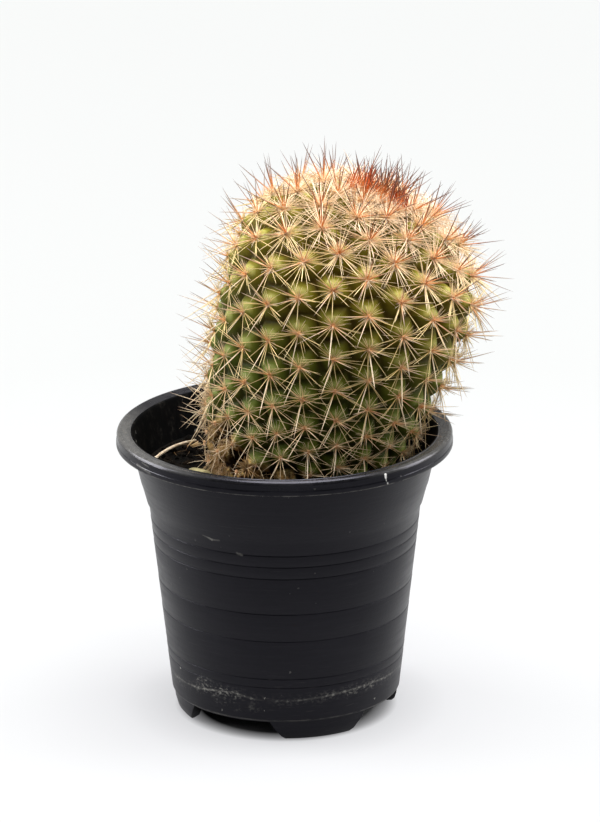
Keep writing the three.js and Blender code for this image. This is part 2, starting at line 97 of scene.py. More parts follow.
class Bench:
    """Hand tools. Each acts on one piece, after everything else has been let go."""

    @staticmethod
    def let_go() -> None:
        """Deselects everything."""
        bpy.ops.object.select_all(action="DESELECT")

    @staticmethod
    def pick(piece: bpy.types.Object) -> None:
        """Selects one piece and makes it active."""
        Bench.let_go()
        piece.select_set(True)
        bpy.context.view_layer.objects.active = piece

    @staticmethod
    def settle(name: str) -> bpy.types.Object:
        """Names the active piece and puts its place into its mesh.

        Args:
            name: The piece's name, which its mesh takes too.

        Returns:
            The piece, at the origin, unturned and unscaled.
        """
        piece = bpy.context.object
        Bench.pick(piece)
        bpy.ops.object.transform_apply(location=True, rotation=True, scale=True)
        piece.name = piece.data.name = name
        return piece

    @staticmethod
    def modify(piece: bpy.types.Object, kind: str, **settings: Any) -> None:
        """Adds a modifier with its settings and applies it."""
        Bench.pick(piece)
        modifier = piece.modifiers.new(kind.title(), kind)
        for name, value in settings.items():
            setattr(modifier, name, value)
        bpy.ops.object.modifier_apply(modifier=modifier.name)

    @staticmethod
    def cut(piece: bpy.types.Object, tool: bpy.types.Object) -> None:
        """Takes the tool's shape out of the piece, and removes the tool."""
        Bench.modify(piece, "BOOLEAN", operation="DIFFERENCE", object=tool, solver="EXACT")
        bpy.data.objects.remove(tool, do_unlink=True)

    @staticmethod
    def soften(piece: bpy.types.Object, degrees: float) -> None:
        """Shades a piece smooth but for edges sharper than an angle."""
        Bench.pick(piece)
        bpy.ops.object.shade_smooth_by_angle(angle=math.radians(degrees))

    @staticmethod
    def turned(name: str, outline: Outline, segments: int) -> bpy.types.Object:
        """Draws a ring and extrudes it along an outline, then closes its ends.

        Args:
            name: The piece's name.
            outline: Radius and height of each ring, in millimetres.
            segments: Sides of each ring.

        Returns:
            A closed, turned piece around the pot's middle.
        """
        Bench.let_go()
        radius, height = outline[0]
        bpy.ops.mesh.primitive_circle_add(
            vertices=segments, radius=radius * MM, location=placed(0, 0, height)
        )
        bpy.ops.object.mode_set(mode="EDIT")
        bpy.ops.mesh.select_all(action="SELECT")
        for (radius, height), (wider, higher) in pairwise(outline):
            lift = {"value": (0.0, 0.0, (higher - height) * MM)}
            bpy.ops.mesh.extrude_region_move(TRANSFORM_OT_translate=lift)
            growth = wider / radius
            middle = placed(0, 0, higher)
            bpy.ops.transform.resize(value=(growth, growth, 1.0), center_override=middle)
        bpy.ops.mesh.select_all(action="SELECT")
        bpy.ops.mesh.fill_holes(sides=0)
        bpy.ops.mesh.normals_make_consistent(inside=False)
        bpy.ops.object.mode_set(mode="OBJECT")
        return Bench.settle(name)

    @staticmethod
    def coordinates(piece: bpy.types.Object) -> Array:
        """Reads a piece's vertices, in millimetres from the pot's middle."""
        flat = np.empty(len(piece.data.vertices) * 3, np.float32)
        piece.data.vertices.foreach_get("co", flat)
        return (flat.reshape(-1, 3).astype(float) - np.array(MIDDLE)) / MM

    @staticmethod
    def reshape(piece: bpy.types.Object, points: Array) -> None:
        """Moves a piece's vertices to points in millimetres from the pot's middle."""
        metres = (points * MM + np.array(MIDDLE)).astype(np.float32)
        piece.data.vertices.foreach_set("co", metres.ravel())
        piece.data.update()

    @staticmethod
    def mark(piece: bpy.types.Object, name: str, values: Array) -> None:
        """Stores one number for each vertex, which the piece's finish reads by name."""
        layer = piece.data.attributes.new(name, "FLOAT", "POINT")
        layer.data.foreach_set("value", values.astype(np.float32))

    @staticmethod
    def lifted(model: bpy.types.Object) -> tuple[Array, list[list[int]]]:
        """Takes the vertices and the faces off a model, and removes the model."""
        points = Bench.coordinates(model)
        faces = [list(face.vertices) for face in model.data.polygons]
        bpy.data.objects.remove(model, do_unlink=True)
        return points, faces


def copied_piece(name: str, points: Array, faces: Sequence[Sequence[int]]) -> bpy.types.Object:
    """Makes a piece from many copies of one shape at once.

    Args:
        name: The piece's name.
        points: The vertices of each copy, in millimetres from the pot's middle.
        faces: Vertex numbers of the shape's own faces.

    Returns:
        The piece, linked to the scene.
    """
    count, size = points.shape[:2]
    numbers = [[corner + size * i for corner in face] for i in range(count) for face in faces]
    mesh = bpy.data.meshes.new(name)
    mesh.from_pydata((points.reshape(-1, 3) * MM + np.array(MIDDLE)).tolist(), [], numbers)
    mesh.update()
    piece = bpy.data.objects.new(name, mesh)
    bpy.context.scene.collection.objects.link(piece)
    return piece


# ------------------------------------------------------------------------------ node sheets


class NodeSheet:
    """Adds and joins the nodes of one tree."""

    def __init__(self, tree: bpy.types.NodeTree) -> None:
        """Keeps the tree that the nodes go into."""
        self.tree = tree

    def add(self, kind: str, inputs: dict[str | int, Any] | None = None, **settings: Any) -> Any:
        """Adds a node.

        Args:
            kind: The node's type.
            inputs: A value or another node's output for each named or numbered input.
            **settings: The node's own settings.

        Returns:
            The new node.
        """
        node = self.tree.nodes.new(kind)
        for name, value in settings.items():
            setattr(node, name, value)
        self.give(node, inputs or {})
        return node

    def give(self, node: Any, inputs: dict[str | int, Any]) -> None:
        """Gives a node's named or numbered inputs a value or another node's output."""
        for name, value in inputs.items():
            if isinstance(value, bpy.types.NodeSocket):
                self.tree.links.new(value, node.inputs[name])
            else:
                node.inputs[name].default_value = value

    def sum(self, kind: str, *values: Any) -> Any:
        """Does one step of arithmetic and returns its output."""
        inputs = dict(enumerate(values))
        return self.add("ShaderNodeMath", inputs, operation=kind).outputs[0]

    def times(self, first: Any, second: Any) -> Any:
        """Multiplies two values and returns the output."""
        return self.sum("MULTIPLY", first, second)

    def lift(self, value: Any, gain: Any, base: Any) -> Any:
        """Multiplies a value by a gain, adds a base, and returns the output."""
        return self.sum("MULTIPLY_ADD", value, gain, base)

    def rest(self, value: Any) -> Any:
        """Takes a value from 1 and returns the output."""
        return self.sum("SUBTRACT", 1.0, value)

    def vector(self, kind: str, first: Any, second: Any) -> Any:
        """Does one step of vector arithmetic and returns its node."""
        return self.add("ShaderNodeVectorMath", {0: first, 1: second}, operation=kind)

    def between(self, low: Any, high: Any, value: Any) -> Any:
        """Rises smoothly from 0 at low to 1 at high, and returns its output."""
        inputs = {"Value": value, "From Min": low, "From Max": high}
        node = self.add("ShaderNodeMapRange", inputs, interpolation_type="SMOOTHSTEP")
        return node.outputs["Result"]

    def ramp(self, value: Any, stops: Stops) -> Any:
        """Turns a value into a colour by a list of stops, and returns its output."""
        node = self.add("ShaderNodeValToRGB", {"Fac": value})
        elements = node.color_ramp.elements
        for spare in range(len(stops) - len(elements)):
            elements.new((spare + 1) / len(stops))
        for element, (place, colour) in zip(elements, stops):
            element.position = place
            element.color = colour
        return node.outputs["Color"]

    def mix(self, share: Any, first: Any, second: Any, kind: str = "MIX") -> Any:
        """Mixes two colours and returns the output."""
        inputs = {"Factor": share, 6: first, 7: second}
        node = self.add("ShaderNodeMix", inputs, data_type="RGBA", blend_type=kind)
        return node.outputs[2]

    def read(self, name: str) -> Any:
        """Reads a number stored on the mesh and returns its output."""
        return self.add("ShaderNodeAttribute", attribute_name=name).outputs["Fac"]

    def use(self, effect: bpy.types.NodeTree, **inputs: Any) -> Any:
        """Places a shared effect and returns its first output."""
        return self.add("ShaderNodeGroup", inputs, node_tree=effect).outputs[0]

    def place(self) -> Any:
        """Returns the output with each point's place in metres."""
        return self.add("ShaderNodeTexCoord").outputs["Object"]


def make_effect(
    name: str, vectors: Sequence[str], floats: Sequence[str], fill: Callable[..., Any]
) -> bpy.types.NodeTree:
    """Builds a shader node group that gives a mask and that several finishes use.

    Args:
        name: The group's name.
        vectors: Names of its vector inputs.
        floats: Names of its inputs that are plain numbers.
        fill: Builds the inside from a node sheet and the input sockets, and returns the mask.

    Returns:
        The node group.
    """
    tree = bpy.data.node_groups.new(name, "ShaderNodeTree")
    for labels, kind in ((vectors, "NodeSocketVector"), (floats, "NodeSocketFloat")):
        for label in labels:
            tree.interface.new_socket(name=label, in_out="INPUT", socket_type=kind)
    tree.interface.new_socket(name="Mask", in_out="OUTPUT", socket_type="NodeSocketFloat")
    entry = tree.nodes.new("NodeGroupInput")
    mask = fill(NodeSheet(tree), entry.outputs)
    leaving = tree.nodes.new("NodeGroupOutput")
    tree.links.new(mask, leaving.inputs["Mask"])
    return tree


def fill_patches(sheet: NodeSheet, given: Any) -> Any:
    """Builds soft patches: noise, stretched and cut off between two levels."""
    spot = sheet.vector("MULTIPLY", given["Vector"], given["Stretch"])
    noise = sheet.add(
        "ShaderNodeTexNoise",
        {"Vector": spot.outputs[0], "Scale": given["Scale"], "Detail": 4.0, "Roughness": 0.6},
    )
    return sheet.between(given["Low"], given["High"], noise.outputs["Fac"])


def fill_flecks(sheet: NodeSheet, given: Any) -> Any:
    """Builds small scattered flecks round the points of a cell pattern."""
    cells = sheet.add("ShaderNodeTexVoronoi", {"Vector": given["Vector"], "Scale": given["Scale"]})
    near = sheet.sum("LESS_THAN", cells.outputs["Distance"], given["Size"])
    chosen = sheet.add("ShaderNodeSeparateColor", {"Color": cells.outputs["Color"]}).outputs["Red"]
    kept = sheet.sum("LESS_THAN", chosen, given["Share"])
    return sheet.times(near, kept)


def fill_band(sheet: NodeSheet, given: Any) -> Any:
    """Builds a level band: full at a height, gone at its reach above and below it."""
    height = sheet.add("ShaderNodeSeparateXYZ", {"Vector": given["Vector"]}).outputs["Z"]
    away = sheet.sum("ABSOLUTE", sheet.sum("SUBTRACT", height, given["Height"]))
    share = sheet.sum("DIVIDE", away, given["Reach"])
    return sheet.sum("MAXIMUM", sheet.rest(share), 0.0)


def fill_stroke(sheet: NodeSheet, given: Any) -> Any:
    """Builds one short mark: full along a line between two points, gone at its width beside it."""
    step = sheet.vector
    span = step("SUBTRACT", given["End"], given["Start"]).outputs["Vector"]
    offset = step("SUBTRACT", given["Vector"], given["Start"]).outputs["Vector"]
    reach = step("DOT_PRODUCT", offset, span).outputs["Value"]
    whole = step("DOT_PRODUCT", span, span).outputs["Value"]
    share = sheet.sum("MINIMUM", sheet.sum("MAXIMUM", sheet.sum("DIVIDE", reach, whole), 0.0), 1.0)
    along = sheet.add("ShaderNodeVectorMath", {0: span, "Scale": share}, operation="SCALE")
    away = step("DISTANCE", offset, along.outputs["Vector"]).outputs["Value"]
    near = sheet.rest(sheet.sum("DIVIDE", away, given["Width"]))
    return sheet.sum("MAXIMUM", near, 0.0)


class Effects:
    """The node groups that the finishes use."""

    patches = make_effect(
        "soft_patches", ["Vector", "Stretch"], ["Scale", "Low", "High"], fill_patches
    )
    flecks = make_effect("small_flecks", ["Vector"], ["Scale", "Size", "Share"], fill_flecks)
    band = make_effect("level_band", ["Vector"], ["Height", "Reach"], fill_band)
    stroke = make_effect("short_stroke", ["Vector", "Start", "End"], ["Width"], fill_stroke)


@dataclass(frozen=True)
class Patches:
    """Soft patches: their scale, the two levels they are cut off between, and their stretch."""

    scale: float
    low: float
    high: float
    stretch: tuple[float, float, float] = (1.0, 1.0, 1.0)

    def mask(self, sheet: NodeSheet, place: Any) -> Any:
        """Lays the patches over a piece and returns their mask."""
        levels = {"Low": self.low, "High": self.high}
        return sheet.use(
            Effects.patches, Vector=place, Stretch=self.stretch, Scale=self.scale, **levels
        )


@dataclass(frozen=True)
class Flecks:
    """Small flecks: the scale of their cells, their size in a cell, and the share of cells."""

    scale: float
    size: float
    share: float

    def mask(self, sheet: NodeSheet, place: Any) -> Any:
        """Scatters the flecks over a piece and returns their mask."""
        return sheet.use(
            Effects.flecks, Vector=place, Scale=self.scale, Size=self.size, Share=self.share
        )


# ------------------------------------------------------------------------------ finishes


@dataclass(frozen=True)
class Finish:
    """What every finish shares: a name and the making of its material."""

    name: str

    def build(self) -> bpy.types.Material:
        """Makes the material: its nodes end in one Principled shader."""
        material = bpy.data.materials.new(self.name)
        material.use_nodes = True
        tree = material.node_tree
        tree.nodes.clear()
        sheet = NodeSheet(tree)
        shader = sheet.add("ShaderNodeBsdfPrincipled")
        self.dress(sheet, shader)
        sheet.add("ShaderNodeOutputMaterial", {"Surface": shader.outputs[0]})
        return material

    def dress(self, sheet: NodeSheet, shader: Any) -> None:
        """Joins the finish's own nodes to the shader."""
        raise NotImplementedError

    @staticmethod
    def feed(sheet: NodeSheet, shader: Any, **inputs: Any) -> None:
        """Gives the shader's named inputs a value or another node's output."""
        sheet.give(shader, {name.replace("_", " "): value for name, value in inputs.items()})

    @staticmethod
    def relief(sheet: NodeSheet, height: Any, distance: float, strength: float) -> Any:
        """Turns a height into a surface normal and returns its output."""
        inputs = {"Height": height, "Distance": distance * MM, "Strength": strength}
        return sheet.add("ShaderNodeBump", inputs).outputs["Normal"]


@dataclass(frozen=True)
class Mark:
    """A scratch, nick or smear: where it starts and ends, its half width and its strength."""

    start: tuple[float, float, float]
    end: tuple[float, float, float]
    width: float
    strength: float = 0.6


@dataclass(frozen=True)
class PotPlastic(Finish):
    """Black moulded plastic, worn at its edges, streaked with dust and dried lime, and given a
    painted sheen on the left and right of its rim.
    """

    name: str = "scuffed_plastic"
    black: Colour = rgb(0.0022, 0.0022, 0.0032)
    worn: Colour = rgb(0.0095, 0.0093, 0.0118)
    sheen: Colour = rgb(0.86, 0.84, 1.0)
    dust: Colour = rgb(0.12, 0.115, 0.105)
    lime: Colour = rgb(0.34, 0.33, 0.3)
    bare: Colour = rgb(0.7, 0.69, 0.66)
    rim_top: float = 89.7
    lip_level: float = 86.8
    lip_reach: float = 0.34
    wall_edge: float = 7.2
    edge_reach: float = 0.3
    lime_level: float = 14.8
    lime_swing: float = 8.0
    tide_reach: float = 0.55
    halo_reach: float = 2.6
    low_wall: tuple[float, float] = (17.0, 28.0)
    # Where the painted sheen on the rim's sides begins and where it is full, in millimetres to
    # either side of the middle.
    sheen_from: float = 20.0
    sheen_to: float = 46.0
    turning: Patches = Patches(60.0, 0.35, 0.75, (1.0, 1.0, 14.0))
    cloudy: Patches = Patches(45.0, 0.42, 0.75)
    hairlines: Patches = Patches(55.0, 0.6, 0.82, (1.0, 1.0, 40.0))
    grime: Patches = Patches(420.0, 0.34, 0.75, (1.0, 1.0, 3.0))
    fine: Patches = Patches(850.0, 0.46, 0.68, (1.0, 1.0, 1.5))
    chips: Patches = Patches(240.0, 0.3, 0.66)
    broken: Patches = Patches(90.0, 0.28, 0.62)
    clumps: Patches = Patches(300.0, 0.42, 0.66)
    streaks: Patches = Patches(150.0, 0.6, 0.74, (1.0, 1.0, 16.0))
    specks: Flecks = Flecks(380.0, 0.13, 0.07)
    nicks: tuple[Mark, ...] = (
        Mark((30.7, -42.2, 90.1), (30.8, -42.2, 89.3), 0.56, 1.0),
        Mark((30.8, -42.2, 89.3), (31.1, -42.3, 88.2), 0.28, 0.6),
        Mark((31.4, -42.1, 87.4), (31.5, -42.1, 87.2), 0.36, 0.6),
    )
    scratches: tuple[Mark, ...] = (
        Mark((-26.6, -33.0, 70.0), (-25.2, -34.2, 68.2), 0.45, 0.5),
        Mark((-25.0, -34.3, 68.4), (-22.6, -36.0, 67.2), 0.6, 0.6),
        Mark((-22.6, -36.0, 67.2), (-20.4, -37.4, 67.4), 0.45, 0.35),
        Mark((-14.8, -39.4, 63.9), (-13.4, -39.9, 63.5), 0.6, 0.3),
        Mark((-45.6, -26.0, 88.4), (-41.4, -32.2, 87.6), 0.6, 0.3),
        Mark((-44.0, -28.6, 89.8), (-42.0, -31.4, 89.4), 0.4, 0.3),
        Mark((-4.6, -41.7, 78.4), (-3.8, -41.8, 78.0), 0.5, 0.4),
    )
    blotches: tuple[Mark, ...] = (
        Mark((-26.5, -25.5, 17.0), (-17.0, -32.0, 14.4), 3.6, 1.0),
        Mark((-21.0, -29.0, 10.6), (-9.0, -34.0, 11.0), 2.6, 0.5),
        Mark((19.7, -31.1, 14.2), (31.0, -19.8, 16.0), 2.2, 0.6),
    )

    def marked(self, sheet: NodeSheet, place: Any, marks: Sequence[Mark]) -> Any:
        """Adds up a list of marks and returns the output."""
        total: Any = 0.0
        for mark in marks:
            ends = {"Start": tuple(placed(*mark.start)), "End": tuple(placed(*mark.end))}
            stroke = sheet.use(Effects.stroke, Vector=place, Width=mark.width * MM, **ends)
            total = sheet.lift(stroke, mark.strength, total)
        return total

    def dress(self, sheet: NodeSheet, shader: Any) -> None:
        """Lays wear, dust, lime and a painted sheen on the rim's sides over the black."""
        place = sheet.place()
        split = sheet.add("ShaderNodeSeparateXYZ", {"Vector": place}).outputs
        level = split["Z"]
        use, fx, times = sheet.use, Effects, sheet.times
        turning, cloudy = self.turning.mask(sheet, place), self.cloudy.mask(sheet, place)
        shade = times(sheet.sum("ADD", turning, cloudy), 0.45)
        colour = sheet.mix(shade, self.black, self.worn)
        colour = sheet.mix(times(self.hairlines.mask(sheet, place), 0.16), colour, self.dust)

        rim = sheet.between(self.rim_top * MM, (self.rim_top + 1.2) * MM, level)
        grime = self.grime.mask(sheet, place)
        film = times(rim, sheet.lift(grime, 0.08, times(cloudy, 0.04)))
        colour = sheet.mix(film, colour, self.dust)
        # Painted sheen: the rim is lightened at its left and right sides, and not at the front or
        # the back, as if it caught light there.
        across = sheet.sum("ABSOLUTE", sheet.sum("SUBTRACT", split["X"], MIDDLE.x), 0.0)
        behind = sheet.between(2.0 * MM, 28.0 * MM, split["Y"])
        side_sheen = sheet.between(self.sheen_from * MM, self.sheen_to * MM, across)
        side_sheen = sheet.sum("MAXIMUM", sheet.sum("SUBTRACT", side_sheen, behind), 0.0)
        painted_rim_sheen = times(times(rim, side_sheen), sheet.lift(grime, 0.06, 0.16))
        colour = sheet.mix(painted_rim_sheen, colour, self.lime)

        fine, chips = self.fine.mask(sheet, place), self.chips.mask(sheet, place)
        outside = sheet.rest(sheet.read("inside"))
        lip = use(fx.band, Vector=place, Height=self.lip_level * MM, Reach=self.lip_reach * MM)
        edge = use(fx.band, Vector=place, Height=self.wall_edge * MM, Reach=self.edge_reach * MM)
        worn_edges = times(sheet.lift(edge, 0.8, lip), times(chips, outside))
        colour = sheet.mix(times(worn_edges, 0.5), colour, self.lime)

        wander = sheet.add("ShaderNodeTexNoise", {"Vector": place, "Scale": 26.0, "Detail": 6.0})
        lowest = (self.lime_level - self.lime_swing / 2) * MM
        swing = sheet.lift(wander.outputs["Fac"], self.lime_swing * MM, lowest)
        core = use(fx.band, Vector=place, Height=swing, Reach=self.tide_reach * MM)
        halo = use(fx.band, Vector=place, Height=swing, Reach=self.halo_reach * MM)
        broken, clumps = self.broken.mask(sheet, place), self.clumps.mask(sheet, place)
        blotch = times(self.marked(sheet, place, self.blotches), clumps)
        crust = times(fine, sheet.lift(halo, times(broken, 0.3), blotch))
        tide = times(times(core, broken), sheet.lift(fine, 0.5, 0.24))
        limed = sheet.sum("MINIMUM", sheet.sum("ADD", crust, tide), 0.75)
        colour = sheet.mix(limed, colour, self.lime)

        low_from, low_to = self.low_wall
        low_wall = sheet.rest(sheet.between(low_from * MM, low_to * MM, level))
        streaks = self.streaks.mask(sheet, place)
        colour = sheet.mix(times(times(streaks, low_wall), 0.3), colour, self.dust)
        jitter = sheet.add("ShaderNodeTexNoise", {"Vector": place, "Scale": 2600.0})
        shift = {0: jitter.outputs["Color"], "Scale": 0.7 * MM}
        torn = sheet.add("ShaderNodeVectorMath", shift, operation="SCALE")
        ragged = sheet.vector("ADD", place, torn.outputs["Vector"])
        specks = self.specks.mask(sheet, ragged.outputs["Vector"])
        spotted = times(specks, sheet.lift(low_wall, 0.7, 0.12))
        colour = sheet.mix(spotted, colour, self.lime)
        scratched = sheet.sum("MINIMUM", self.marked(sheet, place, self.scratches), 0.6)
        colour = sheet.mix(times(scratched, sheet.lift(fine, 0.7, 0.9)), colour, self.lime)
        nick = times(self.marked(sheet, place, self.nicks), sheet.sum("ADD", clumps, 0.6))
        nick = sheet.sum("MINIMUM", times(nick, 2.0), 1.0)
        colour = sheet.mix(nick, colour, self.bare)

        rough = sheet.lift(shade, 0.16, 0.3)
        polished = sheet.between((self.lip_level + 0.8) * MM, (self.lip_level + 1.6) * MM, level)
        rough = sheet.lift(polished, -0.12, rough)
        rough = sheet.lift(film, 0.5, rough)
        grain = sheet.add("ShaderNodeTexNoise", {"Vector": place, "Scale": 900.0, "Detail": 2.0})
        lathe = sheet.lift(turning, 0.7, grain.outputs["Fac"])
        normal = self.relief(sheet, lathe, 0.05, 0.35)
        self.feed(sheet, shader, Base_Color=colour, Roughness=rough, Normal=normal)
        self.feed(sheet, shader, Specular_IOR_Level=0.3, Specular_Tint=self.sheen)


@dataclass(frozen=True)
class ShadedPotInside(Finish):
    """The pot's inner wall: the same black plastic made darker and duller as painted shade, splashed
    with dried soil and a few pale specks.
    """

    name: str = "shaded_inside_plastic"
    # Painted shade: a darker black than the outside's, with little gloss below, so the inner wall
    # looks shaded.
    black: Colour = rgb(0.0012, 0.0012, 0.0013)
    silt: Colour = rgb(0.03, 0.027, 0.023)
    lime: Colour = rgb(0.34, 0.33, 0.3)
    runs: Patches = Patches(70.0, 0.45, 0.8, (5.0, 5.0, 0.8))
    spots: Patches = Patches(520.0, 0.4, 0.7)
    clusters: Patches = Patches(60.0, 0.4, 0.56)
    specks: Flecks = Flecks(260.0, 0.2, 0.5)

    def dress(self, sheet: NodeSheet, shader: Any) -> None:
        """Runs faint silt down the wall and specks it."""
        place = sheet.place()
        runs, spots = self.runs.mask(sheet, place), self.spots.mask(sheet, place)
        colour = sheet.mix(sheet.times(runs, spots), self.black, self.silt)
        specks, cluster = self.specks.mask(sheet, place), self.clusters.mask(sheet, place)
        colour = sheet.mix(sheet.times(specks, cluster), colour, self.lime)
        normal = self.relief(sheet, spots, 0.06, 0.4)
        # The low specular level is painted shade: it keeps the inner wall from catching light.
        self.feed(
            sheet, shader, Base_Color=colour, Roughness=0.8, Normal=normal, Specular_IOR_Level=0.04
        )


@dataclass(frozen=True)
class CactusSkin(Finish):
    """Fleshy green skin: pale and waxy over each tubercle and dark olive between, with painted light
    on the tips' upper sides and painted shade in the creases, dry at the foot.
    """

    name: str = "fleshy_skin"
    # The husk's tan is its colour in painted light; the dark is dead tissue and painted shade.
    dry: Colour = rgb(0.6, 0.38, 0.14)
    husk_dark_and_shade: Colour = rgb(0.014, 0.008, 0.004)
    fleck: Colour = rgb(0.62, 0.66, 0.42)
    mottle: Patches = Patches(260.0, 0.3, 0.72)
    scorched: Patches = Patches(420.0, 0.3, 0.7)
    flecks: Flecks = Flecks(1500.0, 0.28, 0.5)
    # Both ramps run from the green in painted shade, in the creases, to the green in painted light,
    # on the tips' upper sides.
    warm_stops: Stops = (
        (0.0, rgb(0.055, 0.036, 0.002)),
        (0.3, rgb(0.11, 0.088, 0.004)),
        (0.7, rgb(0.18, 0.16, 0.014)),
        (1.0, rgb(0.38, 0.34, 0.09)),
    )
    cool_stops: Stops = (
        (0.0, rgb(0.024, 0.026, 0.002)),
        (0.3, rgb(0.055, 0.074, 0.005)),
        (0.7, rgb(0.095, 0.125, 0.014)),
        (1.0, rgb(0.22, 0.26, 0.07)),
    )

    def dress(self, sheet: NodeSheet, shader: Any) -> None:
        """Colours the skin by its age and by painted light and shade from its height and side, all
        stored on the mesh.
        """
        place = sheet.place()
        rise, bright, age, dry = (sheet.read(name) for name in ("rise", "bright", "age", "dry"))
        mottle, scorched = self.mottle.mask(sheet, place), self.scorched.mask(sheet, place)
        # Tone: the mottle on top of the stored painted light and shade.
        tone = sheet.lift(sheet.sum("SUBTRACT", mottle, 0.5), 0.14, bright)
        warm = sheet.ramp(tone, self.warm_stops)
        cool = sheet.ramp(tone, self.cool_stops)
        colour = sheet.mix(sheet.between(0.2, 0.75, age), warm, cool)
        shown = sheet.times(self.flecks.mask(sheet, place), sheet.between(0.35, 0.9, rise))
        colour = sheet.mix(sheet.times(shown, 0.35), colour, self.fleck)
        # Painted light on the husk too: tan where the stored light is high and the patches allow,
        # dark in painted shade.
        lit = sheet.times(scorched, sheet.between(0.05, 0.5, bright))
        husk = sheet.mix(lit, self.husk_dark_and_shade, self.dry)
        colour = sheet.mix(dry, colour, husk)
        pores = sheet.add("ShaderNodeTexNoise", {"Vector": place, "Scale": 1300.0, "Detail": 3.0})
        creases = sheet.lift(sheet.times(dry, scorched), 3.0, pores.outputs["Fac"])
        normal = self.relief(sheet, creases, 0.12, 0.6)
        rough = sheet.lift(dry, 0.25, 0.62)
        self.feed(sheet, shader, Base_Color=colour, Roughness=rough, Normal=normal)
        self.feed(sheet, shader, Specular_IOR_Level=0.12)
        self.feed(sheet, shader, Subsurface_Weight=0.12, Subsurface_Scale=2.0 * MM)


@dataclass(frozen=True)
class SpineHorn(Finish):
    """Horny spines, whose colour runs from root to tip and changes from one spine to the next."""

    name: str
    stops: Stops
    old_stops: Stops
    variation: float = 0.35

    def dress(self, sheet: NodeSheet, shader: Any) -> None:
        """Runs the young and the old colours along each spine and mixes them by its age."""
        along, draw, age = (sheet.read(name) for name in ("along", "draw", "age"))
        young = sheet.ramp(along, self.stops)
        old = sheet.ramp(along, self.old_stops)
        colour = sheet.mix(age, young, old)
        shade = sheet.lift(draw, self.variation, 1.0 - self.variation)
        grey = sheet.add("ShaderNodeCombineColor", {"Red": shade, "Green": shade, "Blue": shade})
        colour = sheet.mix(1.0, colour, grey.outputs["Color"], "MULTIPLY")
        rings = sheet.add("ShaderNodeTexNoise", {"Vector": sheet.place(), "Scale": 1800.0})
        tint = sheet.mix(sheet.times(rings.outputs["Fac"], 0.08), colour, self.stops[0][1])
        rough = sheet.lift(rings.outputs["Fac"], 0.2, 0.33)
        self.feed(sheet, shader, Base_Color=tint, Roughness=rough)


@dataclass(frozen=True)
class Fibre(Finish):
    """Wool, straw and other dry fibre in two tones."""

    name: str
    light: Colour
    dark: Colour
    grain: float = 900.0

    def dress(self, sheet: NodeSheet, shader: Any) -> None:
        """Mixes the two tones in fine patches."""
        patchy = Patches(self.grain, 0.34, 0.68).mask(sheet, sheet.place())
        colour = sheet.mix(patchy, self.dark, self.light)
        normal = self.relief(sheet, patchy, 0.15, 0.5)
        self.feed(sheet, shader, Base_Color=colour, Roughness=0.85, Normal=normal)
        self.feed(sheet, shader, Sheen_Weight=0.2)


@dataclass(frozen=True)
class SoilMix(Finish):
    """Damp potting mix: near black, with crumbs in a few browns."""

    name: str = "potting_mix"
    damp: Colour = rgb(0.0022, 0.0019, 0.0014)
    brown: Colour = rgb(0.016, 0.0095, 0.0045)
    ash: Colour = rgb(0.06, 0.052, 0.04)
    clods: Patches = Patches(300.0, 0.4, 0.75)
    flecks: Flecks = Flecks(650.0, 0.2, 0.05)

    def dress(self, sheet: NodeSheet, shader: Any) -> None:
        """Gives each crumb its own tone and roughens the rest."""
        place = sheet.place()
        tone = sheet.times(sheet.sum("POWER", sheet.read("draw"), 3.0), 0.8)
        browned = sheet.sum("MAXIMUM", sheet.times(self.clods.mask(sheet, place), 0.5), tone)
        colour = sheet.mix(browned, self.damp, self.brown)
        colour = sheet.mix(sheet.times(self.flecks.mask(sheet, place), 0.6), colour, self.ash)
        rugged = sheet.add("ShaderNodeTexNoise", {"Vector": place, "Scale": 900.0, "Detail": 5.0})
        normal = self.relief(sheet, rugged.outputs["Fac"], 0.8, 0.8)
        self.feed(sheet, shader, Base_Color=colour, Roughness=0.9, Normal=normal)
        self.feed(sheet, shader, Specular_IOR_Level=0.1)


@dataclass(frozen=True)
class PebbleStone(Finish):
    """A worn yellowish chip, soiled underneath."""

    name: str = "worn_stone"
    light: Colour = rgb(0.4, 0.35, 0.17)
    dark: Colour = rgb(0.2, 0.16, 0.07)
    mottle: Patches = Patches(500.0, 0.3, 0.65)

    def dress(self, sheet: NodeSheet, shader: Any) -> None:
        """Mottles the chip and pits it."""
        place = sheet.place()
        colour = sheet.mix(self.mottle.mask(sheet, place), self.dark, self.light)
        pits = sheet.add("ShaderNodeTexNoise", {"Vector": place, "Scale": 1500.0, "Detail": 4.0})
        normal = self.relief(sheet, pits.outputs["Fac"], 0.2, 0.6)
        self.feed(sheet, shader, Base_Color=colour, Roughness=0.75, Normal=normal)


